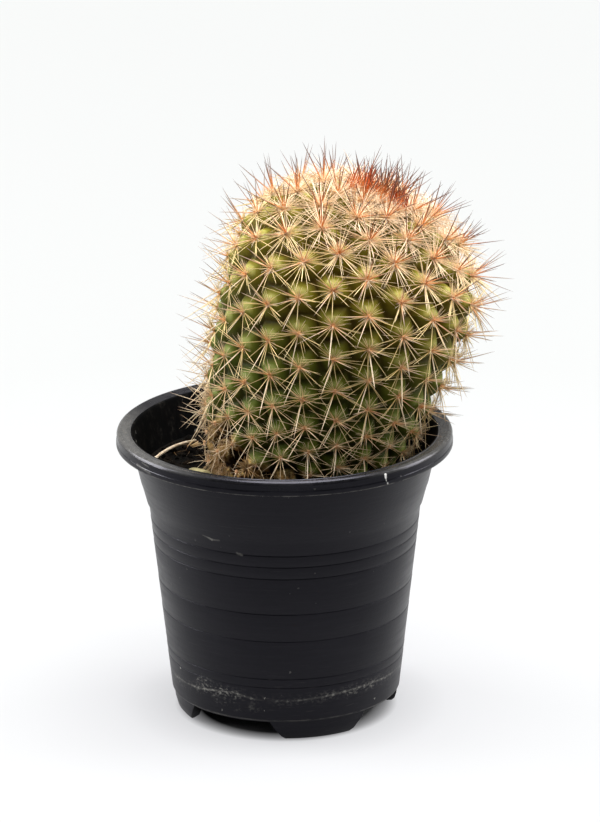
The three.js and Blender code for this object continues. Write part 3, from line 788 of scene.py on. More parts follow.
@dataclass(frozen=True)
class PaleFloor(Finish):
    """The studio's pale floor: white to the camera but for a painted shadow round the pot, and dim
    in what it throws back.
    """

    name: str = "pale_floor"
    white: Colour = rgb(0.13, 0.131, 0.132)
    bounced: Colour = rgb(0.16, 0.16, 0.16)
    # Glow by distance from the pot's middle, in metres: none under the pot, then a painted shadow
    # round its foot that fades into the pale floor.
    glow_and_shadow_stops: Stops = (
        (0.0, rgb(0.0, 0.0, 0.0)),
        (0.029, rgb(0.0, 0.0, 0.0)),
        (0.035, rgb(0.56, 0.56, 0.575)),
        (0.052, rgb(0.66, 0.66, 0.675)),
        (0.1, rgb(0.665, 0.67, 0.675)),
        (0.35, rgb(0.63, 0.64, 0.63)),
        (1.0, rgb(0.765, 0.775, 0.765)),
    )
    mirrored_front: float = 0.2
    mirrored_more: float = 0.36

    def dress(self, sheet: NodeSheet, shader: Any) -> None:
        """Makes the floor glow to the camera, fading out to a painted shadow under and round the
        pot, and throws little light back on the pot.
        """
        place = sheet.place()
        soft = sheet.add("ShaderNodeTexNoise", {"Vector": place, "Scale": 6.0})
        rough = sheet.lift(soft.outputs["Fac"], 0.1, 0.6)
        path = sheet.add("ShaderNodeLightPath").outputs
        scattered = sheet.rest(path["Is Camera Ray"])
        split = sheet.add("ShaderNodeSeparateXYZ", {"Vector": place}).outputs
        share = sheet.between(-0.14, 0.04, split["Y"])
        share = sheet.lift(share, self.mirrored_more, self.mirrored_front)
        mirrored = sheet.times(path["Is Glossy Ray"], share)
        colour = sheet.mix(scattered, self.white, self.bounced)
        offset = sheet.vector("DISTANCE", place, tuple(MIDDLE))
        glow = sheet.ramp(offset.outputs["Value"], self.glow_and_shadow_stops)
        light = sheet.mix(sheet.sum("SUBTRACT", scattered, mirrored), glow, rgb(0.0, 0.0, 0.0))
        self.feed(sheet, shader, Base_Color=colour, Roughness=rough, Specular_IOR_Level=0.0)
        self.feed(sheet, shader, Emission_Color=light, Emission_Strength=1.0)


class SpineKind(Enum):
    """The kinds of spine, each with the colours of its young and its old spines."""

    RADIAL = SpineHorn(
        "pale_horn",
        stops=(
            (0.0, rgb(0.85, 0.48, 0.22)),
            (0.14, rgb(1.0, 0.69, 0.39)),
            (0.6, rgb(1.0, 0.77, 0.53)),
            (1.0, rgb(0.96, 0.74, 0.52)),
        ),
        old_stops=(
            (0.0, rgb(0.6, 0.3, 0.09)),
            (0.07, rgb(0.8, 0.54, 0.19)),
            (0.4, rgb(0.9, 0.68, 0.28)),
            (1.0, rgb(0.94, 0.76, 0.38)),
        ),
        variation=0.3,
    )
    CENTRAL = SpineHorn(
        "rust_horn",
        stops=(
            (0.0, rgb(0.8, 0.32, 0.08)),
            (0.3, rgb(0.64, 0.22, 0.055)),
            (0.58, rgb(0.17, 0.06, 0.032)),
            (1.0, rgb(0.02, 0.014, 0.018)),
        ),
        old_stops=(
            (0.0, rgb(0.56, 0.25, 0.07)),
            (0.1, rgb(0.7, 0.42, 0.18)),
            (0.25, rgb(0.95, 0.79, 0.54)),
            (0.8, rgb(0.94, 0.77, 0.53)),
            (1.0, rgb(0.34, 0.19, 0.12)),
        ),
        variation=0.25,
    )
    DRY = SpineHorn(
        "dry_horn",
        stops=(
            (0.0, rgb(0.46, 0.21, 0.06)),
            (0.4, rgb(0.58, 0.34, 0.13)),
            (1.0, rgb(0.42, 0.24, 0.1)),
        ),
        old_stops=(
            (0.0, rgb(0.38, 0.22, 0.09)),
            (0.5, rgb(0.6, 0.42, 0.2)),
            (1.0, rgb(0.7, 0.53, 0.3)),
        ),
        variation=0.5,
    )
    CROWN = SpineHorn(
        "crown_horn",
        stops=(
            (0.0, rgb(0.9, 0.33, 0.08)),
            (0.35, rgb(0.78, 0.12, 0.012)),
            (0.74, rgb(0.48, 0.04, 0.01)),
            (0.92, rgb(0.14, 0.018, 0.014)),
            (1.0, rgb(0.04, 0.012, 0.016)),
        ),
        old_stops=(
            (0.0, rgb(0.95, 0.5, 0.2)),
            (0.45, rgb(0.9, 0.27, 0.05)),
            (0.75, rgb(0.5, 0.1, 0.03)),
            (1.0, rgb(0.09, 0.03, 0.025)),
        ),
    )


# ------------------------------------------------------------------------------ form of the plant


@dataclass(frozen=True)
class PlantForm:
    """The plant's leaning middle line and its outline over the tubercles' tips."""

    foot: tuple[float, float, float] = (3.7, -0.6, 82.8)
    lean: tuple[float, float] = (0.294, 0.106)
    bend: tuple[float, float] = (0.0008, -0.0022)
    top: float = 82.6
    widest_level: float = 56.8
    widest_radius: float = 39.05
    foot_narrowing: float = 0.235
    foot_power: float = 1.74
    buried_level: float = -16.0
    root_level: float = -20.0

    def axis_points(self, level: Array) -> Array:
        """Finds points on the middle line at heights above the foot."""
        curve = np.where(level > 0, level * level / 2, 0.0)
        x = self.foot[0] + self.lean[0] * level + self.bend[0] * curve
        y = self.foot[1] + self.lean[1] * level + self.bend[1] * curve
        return np.stack([x, y, self.foot[2] + level], axis=-1)

    def axis_frames(self, level: Array) -> tuple[Array, Array, Array]:
        """Finds the line's direction and the directions square to it, right and back."""
        above = np.maximum(level, 0.0)
        slopes = [self.lean[i] + self.bend[i] * above for i in range(2)]
        along = unit(np.stack([*slopes, np.ones_like(above)], axis=-1))
        right = unit(np.array([1.0, 0.0, 0.0]) - along * along[..., :1])
        return along, right, np.cross(along, right)

    def radii(self, level: Array) -> Array:
        """Finds the outline's radius: a dome above the widest level, drawn in towards the foot."""
        rise = np.clip((level - self.widest_level) / (self.top - self.widest_level), 0.0, 1.0)
        drop = np.clip((self.widest_level - level) / self.widest_level, 0.0, None)
        lower = 1.0 - self.foot_narrowing * drop**self.foot_power
        return self.widest_radius * np.where(drop > 0, lower, np.sqrt(1.0 - rise * rise))

    def surface(self, level: Array, angle: Array) -> Array:
        """Finds points on the outline at levels and angles."""
        _, right, back = self.axis_frames(level)
        radius = self.radii(level)[..., None]
        sideways = right * np.sin(angle)[..., None] - back * np.cos(angle)[..., None]
        return self.axis_points(level) + radius * sideways

    def surface_frames(self, level: Array, angle: Array) -> tuple[Array, Array, Array]:
        """Finds the outward normal, the way to the crown, and sideways, on the outline."""
        step = 0.2
        upper = self.surface(np.minimum(level + step, self.top), angle)
        crownward = unit(upper - self.surface(level - step, angle))
        _, right, back = self.axis_frames(level)
        sideways = right * np.cos(angle)[..., None] + back * np.sin(angle)[..., None]
        return unit(np.cross(sideways, crownward)), crownward, sideways


def unit(vectors: Array) -> Array:
    """Scales vectors to a length of 1."""
    return vectors / np.linalg.norm(vectors, axis=-1, keepdims=True)


def scatter(number: Array, draw: float) -> Array:
    """Gives a fixed draw between 0 and 1 for each tubercle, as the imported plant's spines have."""
    value = np.sin(number * 12.9898 + draw * 78.233) * 43758.5453
    return value - np.floor(value)


@dataclass(frozen=True)
class Spiral:
    """The one spiral that the tubercles follow down from the crown, a fixed turn apart."""

    form: PlantForm
    start: float = 59.6
    turn: float = 137.42
    young: int = 18
    young_power: float = 1.7
    peak_area: float = 131.0
    peak_number: int = 52
    area_fall: float = 0.005
    least_area: float = 75.0

    def area(self, number: Array) -> Array:
        """Finds the skin that each tubercle holds, in square millimetres."""
        past = number - self.peak_number
        full = np.maximum(self.least_area, self.peak_area - self.area_fall * past**2)
        young = np.clip((number + self.young) / (self.young + 1), 0.0, 1.0) ** self.young_power
        return np.where(number > 0, full, full * young)

    def tubercles(self) -> "Tubercles":
        """Places every tubercle on the outline.

        Returns:
            The tubercles, from the crown down.
        """
        steps = 600
        span = self.form.top - self.form.buried_level
        level = self.form.top - span * (np.arange(steps + 1) / steps) ** 2
        radius = self.form.radii(level)
        run = np.linalg.norm(np.diff(self.form.axis_points(level), axis=0), axis=1)
        slant = np.hypot(np.diff(radius), run)
        area = np.concatenate([[0.0], np.cumsum(math.pi * (radius[1:] + radius[:-1]) * slant)])
        number = np.arange(1 - self.young, 400)
        held = np.cumsum(self.area(number))
        number = number[held < area[-1]].astype(float)
        level = np.interp(held[: len(number)], area, level)
        angle = np.radians(self.start + self.turn * number)
        return Tubercles(
            number,
            level,
            angle,
            np.sqrt(self.area(number) * 2.0 / math.sqrt(3.0)),
            self.form.surface(level, angle),
            *self.form.surface_frames(level, angle),
        )


@dataclass(frozen=True)
class Tubercles:
    """The tubercles' numbers, places and directions, one row for each."""

    number: Array
    level: Array
    angle: Array
    spacing: Array
    tip: Array
    normal: Array
    crownward: Array
    sideways: Array

    def age(self) -> Array:
        """Runs from 0 on the crown to 1 on the oldest tubercles."""
        return np.clip(self.number / 170.0, 0.0, 1.0)

    def direction(self, chosen: Array, turn: Array, tilt: Array) -> Array:
        """Finds directions from tubercles.

        Args:
            chosen: The tubercle of each direction.
            turn: Angle round its tip from the crownward side, in radians.
            tilt: Angle from its outward normal, in radians.

        Returns:
            Unit vectors.
        """
        flat = self.crownward[chosen] * np.cos(turn)[:, None]
        flat = flat + self.sideways[chosen] * np.sin(turn)[:, None]
        return self.normal[chosen] * np.cos(tilt)[:, None] + flat * np.sin(tilt)[:, None]


def dryness(level: Array, angle: Array) -> Array:
    """Says how withered the plant is: dry at the foot, and highest at its left front."""
    around = np.degrees((angle + math.pi) % (2 * math.pi) - math.pi)
    corner = np.exp(-(((around + 60.0) / 26.0) ** 2))
    edge = -0.5 + 6.5 * corner + 1.4 * np.sin(angle * 5.0 + 1.0)
    return 1.0 - smooth_step(-2.0, 2.0, level - edge)


@dataclass(frozen=True)
class Hollow:
    """A hollow where the withered flesh has sunk, or a knob where its depth is below 0."""

    middle: tuple[float, float, float]
    radius: float
    depth: float

    def away(self, points: Array) -> Array:
        """Measures how far points are from its middle, in its own radius."""
        return np.linalg.norm(points - np.array(self.middle), axis=1) / self.radius


HOLLOWS = (
    Hollow((-19.4, -17.2, 96.3), 1.9, 3.4),
    Hollow((-22.8, -11.2, 90.4), 1.7, 3.0),
    Hollow((-16.1, -21.5, 86.7), 3.2, 4.5),
)
LAST_KNOB = Hollow((-10.8, -25.7, 87.0), 3.0, -2.2)


def off_hollows(points: Array, reach: float) -> Array:
    """Says which points lie clear of every hollow, by a reach in the hollow's own radius."""
    return np.all([hollow.away(points) > reach for hollow in HOLLOWS], axis=0)


# ------------------------------------------------------------------------------ cactus body


@dataclass
class CactusBody:
    """The body: one closed skin, raised into plump tubercles that crease where they meet."""

    form: PlantForm
    tubercles: Tubercles
    columns: int = 420
    rows: int = 220
    height: float = 0.31
    upper_power: float = 2.4
    lower_power: float = 1.35
    lump_waves: Sequence[tuple[float, float, float]] = ((2.1, 1.3, 1.7), (-1.1, 2.3, 1.9))

    def build(self) -> bpy.types.Object:
        """Shapes a ball into the body.

        Returns:
            The body, with its rise, painted light and shade, age and dryness stored on it.
        """
        Bench.let_go()
        bpy.ops.mesh.primitive_uv_sphere_add(
            segments=self.columns, ring_count=self.rows, radius=MM, location=MIDDLE
        )
        body = Bench.settle("cactus_body")
        ball = Bench.coordinates(body)
        share = np.arccos(np.clip(ball[:, 2], -1.0, 1.0)) / math.pi
        angle = np.arctan2(ball[:, 0], -ball[:, 1])
        level = self.levels(share)
        outer = self.form.surface(level, angle)
        normal, crownward, _ = self.form.surface_frames(level, angle)
        depth, rise, side = self.relief(outer, level, crownward)
        dry = dryness(level, angle)
        first, second = (np.sin(outer @ np.array(wave)) for wave in self.lump_waves)
        depth += dry * (0.9 + 0.5 * (first * second))
        for hollow in HOLLOWS:
            away = hollow.away(outer)
            sunk = np.exp(-(away**4))
            depth += hollow.depth * sunk - 0.5 * np.exp(-(((away - 1.35) / 0.35) ** 2))
            # Painted shade: in a hollow the rise and side fall, so the skin's stored light and shade
            # darkens it and its husk turns dark.
            rise, side = rise * (1.0 - sunk), side * (1.0 - sunk) - sunk
        knob = np.exp(-(LAST_KNOB.away(outer) ** 2))
        depth += LAST_KNOB.depth * knob
        # The knob counts as a tip: it takes the flecks and the painted light of one.
        rise = np.maximum(rise, knob)
        under = level <= self.form.buried_level + 1e-6
        pole = share > 0.999
        points = outer - normal * depth[:, None]
        points[under] = outer[under]
        points[pole] = self.form.axis_points(np.full(pole.sum(), self.form.root_level))
        Bench.reshape(body, points)
        self.store(body, level, angle, rise, side)
        Bench.soften(body, 80.0)
        return body

    def levels(self, share: Array) -> Array:
        """Spreads the ball's rings evenly along the outline, from the crown to the root."""
        fine = np.linspace(self.form.top, self.form.buried_level, 2000)
        radius = self.form.radii(fine)
        length = np.concatenate([[0.0], np.cumsum(np.hypot(np.diff(radius), np.diff(fine)))])
        return np.interp(share * length[-1] * 1.005, length, fine)

    def relief(self, points: Array, level: Array, crownward: Array) -> tuple[Array, Array, Array]:
        """Finds how far the skin lies under the outline.

        Args:
            points: Places on the outline.
            level: Their levels.
            crownward: The way to the crown at each.

        Returns:
            The depth in millimetres; the rise, from 0 in a crease to 1 at a tip; and the side of
            the tubercle, from -1 on its lower side to 1 on its crownward side.
        """
        depth, rise, side = (np.zeros(len(points)) for _ in range(3))
        tips, spacing = self.tubercles.tip, self.tubercles.spacing
        for chunk in np.array_split(np.arange(len(points)), 60):
            away = np.linalg.norm(points[chunk, None] - tips[None], axis=2)
            scaled = away / spacing
            order = np.argpartition(scaled, 1, axis=1)[:, :2]
            pair = np.take_along_axis(scaled, order, axis=1)
            first = pair.argmin(axis=1)
            nearest = order[np.arange(len(chunk)), first]
            share = 2.0 * pair.min(axis=1) / (pair.sum(axis=1) + 1e-9)
            offset = points[chunk] - tips[nearest]
            towards = (offset * crownward[chunk]).sum(axis=1) / spacing[nearest]
            side[chunk] = np.clip(towards / 0.45, -1.0, 1.0)
            upper = smooth_step(-0.5, 0.6, side[chunk])
            power = self.lower_power + (self.upper_power - self.lower_power) * upper
            dome = np.clip(share, 0.0, 1.0) ** power
            depth[chunk] = dome * self.height * spacing[nearest]
            rise[chunk] = 1.0 - share
        return depth, rise, side

    def store(
        self, body: bpy.types.Object, level: Array, angle: Array, rise: Array, side: Array
    ) -> None:
        """Stores what the finish reads: rise, painted light and shade, age and dryness."""
        age = np.interp(level, [0.0, self.form.top], [1.0, 0.0])
        # Painted light and shade: lightest on the tips and their crownward side, darkest in the
        # creases and on the lower sides, where shade falls.
        upper = smooth_step(-0.35, 0.5, side)
        bright = np.clip(smooth_step(-0.05, 0.6, rise) * (0.45 + 0.6 * upper), 0.0, 1.0)
        Bench.mark(body, "rise", rise)
        Bench.mark(body, "bright", bright)
        Bench.mark(body, "age", age)
        Bench.mark(body, "dry", dryness(level, angle))


# ------------------------------------------------------------------------------ spines and wool


@dataclass
class Bristles:
    """Places for many copies of one tapered spine: roots, directions, sizes and bends."""

    root: Array
    towards: Array
    length: Array
    radius: Array
    bend: Array
    draw: Array
    age: Array

    def kept(self, chosen: Array) -> "Bristles":
        """Keeps only the chosen ones."""
        return Bristles(*(getattr(self, name)[chosen] for name in self.__dataclass_fields__))

    @staticmethod
    def joined(parts: Sequence["Bristles"]) -> "Bristles":
        """Puts several sets together."""
        rows = ([getattr(part, name) for part in parts] for name in Bristles.__dataclass_fields__)
        return Bristles(*(np.concatenate(row) for row in rows))


@dataclass
class SpineModel:
    """One spine, modelled once: a ring drawn out and tapered to a point, 1 long and 1 in radius."""

    sides: int = 4
    taper: Outline = ((1.0, 0.0), (0.92, 0.3), (0.68, 0.65), (0.36, 0.88), (0.06, 1.0))

    def copies(self, name: str, places: Bristles) -> bpy.types.Object:
        """Copies the spine to every place, all in one mesh.

        Args:
            name: The piece's name.
            places: Where the spines stand and how they run.

        Returns:
            The piece, with each point's way along its spine, draw and age stored on it.
        """
        shape, faces = Bench.lifted(Bench.turned("spine_model", self.taper, self.sides))
        leaning = np.abs(places.towards[:, 2:]) < 0.9
        helper = np.where(leaning, [[0.0, 0.0, 1.0]], [[1.0, 0.0, 0.0]])
        across = unit(np.cross(places.towards, helper))
        beside = np.cross(places.towards, across)
        along = shape[:, 2]
        radius = places.radius[:, None, None]
        reach = (places.length[:, None] * along)[..., None]
        points = places.root[:, None] + places.towards[:, None] * reach
        points = points + places.bend[:, None] * (along * along)[None, :, None]
        ring = across[:, None] * shape[:, :1] + beside[:, None] * shape[:, 1:2]
        points = points + radius * ring
        piece = copied_piece(name, points, faces)
        Bench.mark(piece, "along", np.tile(along, len(points)))
        Bench.mark(piece, "draw", np.repeat(places.draw, len(shape)))
        Bench.mark(piece, "age", np.repeat(places.age, len(shape)))
        Bench.pick(piece)
        bpy.ops.object.mode_set(mode="EDIT")
        bpy.ops.mesh.select_all(action="SELECT")
        bpy.ops.mesh.normals_make_consistent(inside=False)
        bpy.ops.object.mode_set(mode="OBJECT")
        Bench.soften(piece, 75.0)
        return piece


@dataclass(frozen=True)
class Fan:
    """Some of an areole's radials: how many, how they spread, and the oldest that have them."""

    count: int
    middle: float
    spread: float
    tilt: float
    length: float
    radius: float
    oldest: int = 400
    pale: float = 0.0


@dataclass(frozen=True)
class Brush:
    """A tight brush of new spines on the crown, set off from its middle, and how it leans."""

    count: int
    right: float
    front: float
    width: float
    length: float
    lean_right: float = 0.0
    upright: float = 0.45
    pale: float = 0.7


@dataclass
class SpineCoat:
    """All the spines: radials laid out like stars, centrals between them, and the red crown."""

    tubercles: Tubercles
    soil: "SoilFill"
    fans: Sequence[Fan] = (
        Fan(16, 0.0, 84.0, 66.0, 5.4, 0.075, pale=0.75),
        Fan(4, -92.0, 38.0, 74.0, 10.4, 0.125),
        Fan(4, 92.0, 38.0, 74.0, 10.4, 0.125),
        Fan(3, 180.0, 40.0, 68.0, 9.6, 0.12),
        Fan(14, 0.0, 180.0, 84.0, 10.0, 0.095, oldest=36),
        Fan(14, 0.0, 180.0, 72.0, 9.2, 0.09, oldest=28),
        Fan(14, 0.0, 180.0, 52.0, 7.8, 0.085, oldest=18),
    )
    centrals: Sequence[tuple[float, float, float, int]] = (
        (180.0, 50.0, 12.5, 400),
        (55.0, 34.0, 11.0, 400),
        (-55.0, 34.0, 11.0, 400),
        (0.0, 24.0, 10.5, 400),
        (100.0, 48.0, 11.5, 66),
        (-100.0, 48.0, 11.5, 66),
    )
    down_radius: float = 0.205
    other_radius: float = 0.175
    crown_number: int = 30
    crown_tilt: float = 0.62
    brushes: Sequence[Brush] = (
        Brush(40, -5.6, -0.6, 1.15, 10.8, 0.16, 0.3, 0.95),
        Brush(22, 2.8, 2.6, 0.7, 9.4, -0.02, 0.5, 0.3),
        Brush(28, 6.4, 3.4, 1.1, 8.8, -0.05, 0.4, 0.95),
        Brush(12, -9.2, -1.0, 1.6, 12.4, 0.15, 0.4, 1.0),
    )
    uneven: float = 9.0
    turn_sway: float = 14.0
    tilt_sway: float = 8.0
    length_sway: float = 0.12
    radials_old: tuple[float, float] = (9.0, 42.0)
    radials_low: tuple[float, float] = (92.0, 150.0)
    centrals_old: tuple[float, float] = (15.0, 70.0)
    centrals_low: tuple[float, float] = (100.0, 165.0)
    kinked_share: float = 0.06
    kinked_more: float = 3.4
    lost_share: float = 0.8
    mouth_radius: float = 45.2
    mouth_top: float = 92.4

    def clear(self, places: Bristles, clearance: float = 0.5) -> Bristles:
        """Drops the spines that would run into the soil or the pot's wall."""
        keep = np.ones(len(places.length), bool)
        for share in (0.4, 0.7, 1.0):
            reach = (places.length * share)[:, None]
            point = places.root + places.towards * reach + places.bend * share**2
            distance = np.hypot(point[:, 0], point[:, 1])
            keep &= (point[:, 2] > self.mouth_top) | (distance < self.mouth_radius)
            keep &= point[:, 2] > self.soil.height(point[:, 0], point[:, 1]) + clearance
        return places.kept(keep)

    def radial_places(self, random: np.random.Generator) -> Bristles:
        """Lays the radials round every tubercle's tip, fan by fan."""
        t = self.tubercles
        parts = []
        for fan in self.fans:
            having = np.flatnonzero(t.number <= fan.oldest)
            chosen = np.repeat(having, fan.count)
            slot = np.tile((np.arange(fan.count) + 0.5) / fan.count * 2.0 - 1.0, len(having))
            count = len(chosen)
            number = t.number[chosen]
            off = random.normal(0.0, self.uneven, count)
            turn = np.radians(fan.middle + fan.spread * slot + off)
            turn += (scatter(number, 40.0) - 0.5) * 0.5
            young = np.clip(1.0 - number / 60.0, 0.0, 1.0)
            slant = 14.0 * (scatter(number, 41.0) - 0.5)
            tilt = np.radians(fan.tilt + slant + random.normal(0.0, self.uneven, count))
            towards = t.direction(chosen, turn, tilt)
            size = np.clip(t.spacing[chosen] / 10.5, 0.5, 1.0)
            size = size * (0.86 + 0.26 * scatter(number, 42.0))
            length = fan.length * size * random.uniform(0.72, 1.14, count) * (1.0 + 0.12 * young)
            kinked = random.uniform(0.0, 1.0, count) < self.kinked_share
            unruly = np.where(kinked, self.kinked_more, 1.0)[:, None]
            bend = t.normal[chosen] * random.normal(-0.3, 0.45, count)[:, None]
            bend += t.sideways[chosen] * random.normal(0.0, 0.4, count)[:, None] * unruly
            root = t.tip[chosen] - t.normal[chosen] * 0.3 + towards * 0.35
            low = smooth_step(*self.radials_low, number)
            radius = fan.radius * random.uniform(0.8, 1.15, count) * (1.0 - 0.22 * low)
            age = smooth_step(*self.radials_old, number) * (1.0 - 0.65 * low)
            age = age * (1.0 - fan.pale)
            draw = random.uniform(0, 1, count)
            places = Bristles(root, towards, length, radius, bend, draw, age)
            parts.append(self.withered(places, chosen, random))
        return Bristles.joined(parts)

    def withered(self, places: Bristles, chosen: Array, random: np.random.Generator) -> Bristles:
        """Thins, browns and curls the spines of dry tubercles, and drops those over a hollow.

        Args:
            places: The spines.
            chosen: The tubercle of each.
            random: The source of the draws.

        Returns:
            The spines that are left.
        """
        t = self.tubercles
        dry = dryness(t.level, t.angle)[chosen]
        places.draw = places.draw - 0.35 * dry
        places.bend = places.bend + random.normal(0.0, 0.9, places.bend.shape) * dry[:, None]
        places.length = places.length * (1.0 - 0.3 * dry)
        keep = random.uniform(0.0, 1.0, len(dry)) > self.lost_share * dry
        return places.kept(keep & off_hollows(t.tip[chosen], 1.3))

    def central_places(self, random: np.random.Generator) -> Bristles:
        """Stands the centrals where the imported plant's are, with more on the young tubercles."""
        parts = []
        t = self.tubercles
        for place, (turn, tilt, length, oldest) in enumerate(self.centrals):
            chosen = np.flatnonzero(t.number <= oldest)
            number = t.number[chosen]
            upright = np.where(number < self.crown_number, self.crown_tilt, 1.0)
            stray = 1.6 if place < 3 else 2.4
            sways = [2 * scatter(number, 3 * place + i) - 1 for i in range(3)]
            turns = np.radians(turn + self.turn_sway * stray * sways[0])
            tilts = np.radians(tilt * upright + self.tilt_sway * stray * sways[1])
            lengths = length * (1 + self.length_sway * stray * sways[2])
            towards = t.direction(chosen, turns, tilts)
            bend = t.normal[chosen] * random.normal(0.0, 0.35, len(chosen))[:, None]
            bend += t.sideways[chosen] * random.normal(0.0, 0.4, len(chosen))[:, None]
            down = place == 0
            width = self.down_radius if down else self.other_radius
            low = smooth_step(*self.centrals_low, number)
            radius = width * random.uniform(0.85, 1.15, len(chosen)) * (1.0 - 0.28 * low)
            draw = random.uniform(0, 1, len(chosen))
            age = smooth_step(*self.centrals_old, number) * (1.0 if down else 0.22 + 0.38 * draw)
            age = np.maximum(age, low * (0.75 + 0.25 * draw))
            root = t.tip[chosen] - t.normal[chosen] * 0.2
            places = Bristles(root, towards, lengths, radius, bend, draw, age)
            parts.append(self.withered(places, chosen, random))
        return Bristles.joined(parts)

    def crown_places(self, random: np.random.Generator) -> Bristles:
        """Crowds the new red spines into brushes on the crown, upright and close together."""
        form = self.soil.form
        parts = []
        for brush in self.brushes:
            count = brush.count
            right = brush.right + random.normal(0.0, brush.width, count)
            front = brush.front + random.normal(0.0, brush.width, count)
            angle, away = np.arctan2(right, front), np.hypot(right, front)
            slope = np.sqrt(1.0 - np.clip(away / form.widest_radius, 0.0, 0.99) ** 2)
            level = form.widest_level + (form.top - form.widest_level) * slope
            spot = form.surface(level, angle)
            along, _, _ = form.axis_frames(level)
            lean = random.normal(0.0, 0.12, (count, 3))
            lean = lean + np.array([brush.lean_right, 0.0, brush.upright])
            outward = (spot - spot.mean(axis=0)) * 0.05
            towards = unit(along + lean + outward)
            length = brush.length * random.uniform(0.62, 1.05, count)
            bend = random.normal(0.0, 0.45, (count, 3))
            radius = 0.2 * random.uniform(0.75, 1.15, count)
            age = brush.pale * random.uniform(0.0, 1.0, count) ** 0.6
            draw = random.uniform(0, 1, count)
            parts.append(Bristles(spot - along, towards, length, radius, bend, draw, age))
        return Bristles.joined(parts)

    def build(self) -> list[bpy.types.Object]:
        """Makes the three coats of spines."""
        random = np.random.default_rng(SEED)
        radials = SpineModel(sides=3, taper=((1.0, 0.0), (1.0, 0.45), (0.75, 0.82), (0.15, 1.0)))
        return [
            radials.copies("radial_spines", self.clear(self.radial_places(random))),
            SpineModel().copies("central_spines", self.clear(self.central_places(random))),
            SpineModel().copies("crown_spines", self.crown_places(random)),
        ]


@dataclass
class Wool:
    """Felt and short wool in each areole, and the pale wool between the young tubercles."""

    tubercles: Tubercles
    pad_radius: float = 0.75
    tuft_amounts: Sequence[tuple[float, float]] = (
        (-17.0, 56.0),
        (0.0, 76.0),
        (25.0, 66.0),
        (45.0, 38.0),
        (70.0, 14.0),
        (110.0, 6.0),
    )

    def pads(self) -> bpy.types.Object:
        """Sets a small lumpy pad of felt on every tip."""
        random = np.random.default_rng(SEED + 1)
        Bench.let_go()
        bpy.ops.mesh.primitive_ico_sphere_add(subdivisions=2, radius=MM, location=MIDDLE)
        shape, faces = Bench.lifted(Bench.settle("felt_model"))
        t = self.tubercles
        count, size = len(t.number), len(shape)
        lumps = 1.0 + 0.22 * random.normal(0.0, 1.0, (count, size, 1)).clip(-1.5, 1.5)
        scale = self.pad_radius * np.clip(t.spacing / 10.0, 0.4, 1.1)[:, None, None]
        basis = np.stack([t.sideways * 0.85, t.crownward * 1.15, t.normal * 0.6], axis=1)
        local = (shape[None] * lumps * scale) @ basis
        points = local + t.tip[:, None] - t.normal[:, None] * 0.1
        piece = copied_piece("areole_felt", points, faces)
        Bench.soften(piece, 60.0)
        return piece

    def tufts(self) -> bpy.types.Object:
        """Tangles short fibres at every areole, many on the crown and few on the old ones."""
        random = np.random.default_rng(SEED + 2)
        t = self.tubercles
        amount = np.interp(t.number, *zip(*self.tuft_amounts))
        chosen = np.repeat(np.arange(len(t.number)), amount.astype(int))
        count = len(chosen)
        young = np.clip(1.0 - t.number[chosen] / 75.0, 0.0, 1.0)
        turn = random.uniform(-math.pi, math.pi, count)
        tilt = np.radians(random.uniform(25.0, 88.0, count))
        towards = t.direction(chosen, turn, tilt)
        length = random.uniform(1.2, 2.4, count) * (1.0 + 1.5 * young)
        length *= np.clip(t.spacing[chosen] / 9.0, 0.6, 1.0)
        bend = random.normal(0.0, 0.6, (count, 3))
        root = t.tip[chosen] - t.normal[chosen] * random.uniform(0.0, 1.0, count)[:, None]
        radius = np.full(count, 0.1) + 0.03 * young
        draw, age = random.uniform(0, 1, count), t.age()[chosen]
        places = Bristles(root, towards, length, radius, bend, draw, age)
        fibre = SpineModel(sides=3, taper=((1.0, 0.0), (0.8, 0.5), (0.2, 1.0)))
        return fibre.copies("areole_wool", places)


@dataclass(frozen=True)
class HairPatch:
    """A patch of matted hair: how many, between which levels and angles, and how they run."""

    count: int
    levels: tuple[float, float]
    angles: tuple[float, float]
    lengths: tuple[float, float]
    droop: float
    curl: float
    age: float


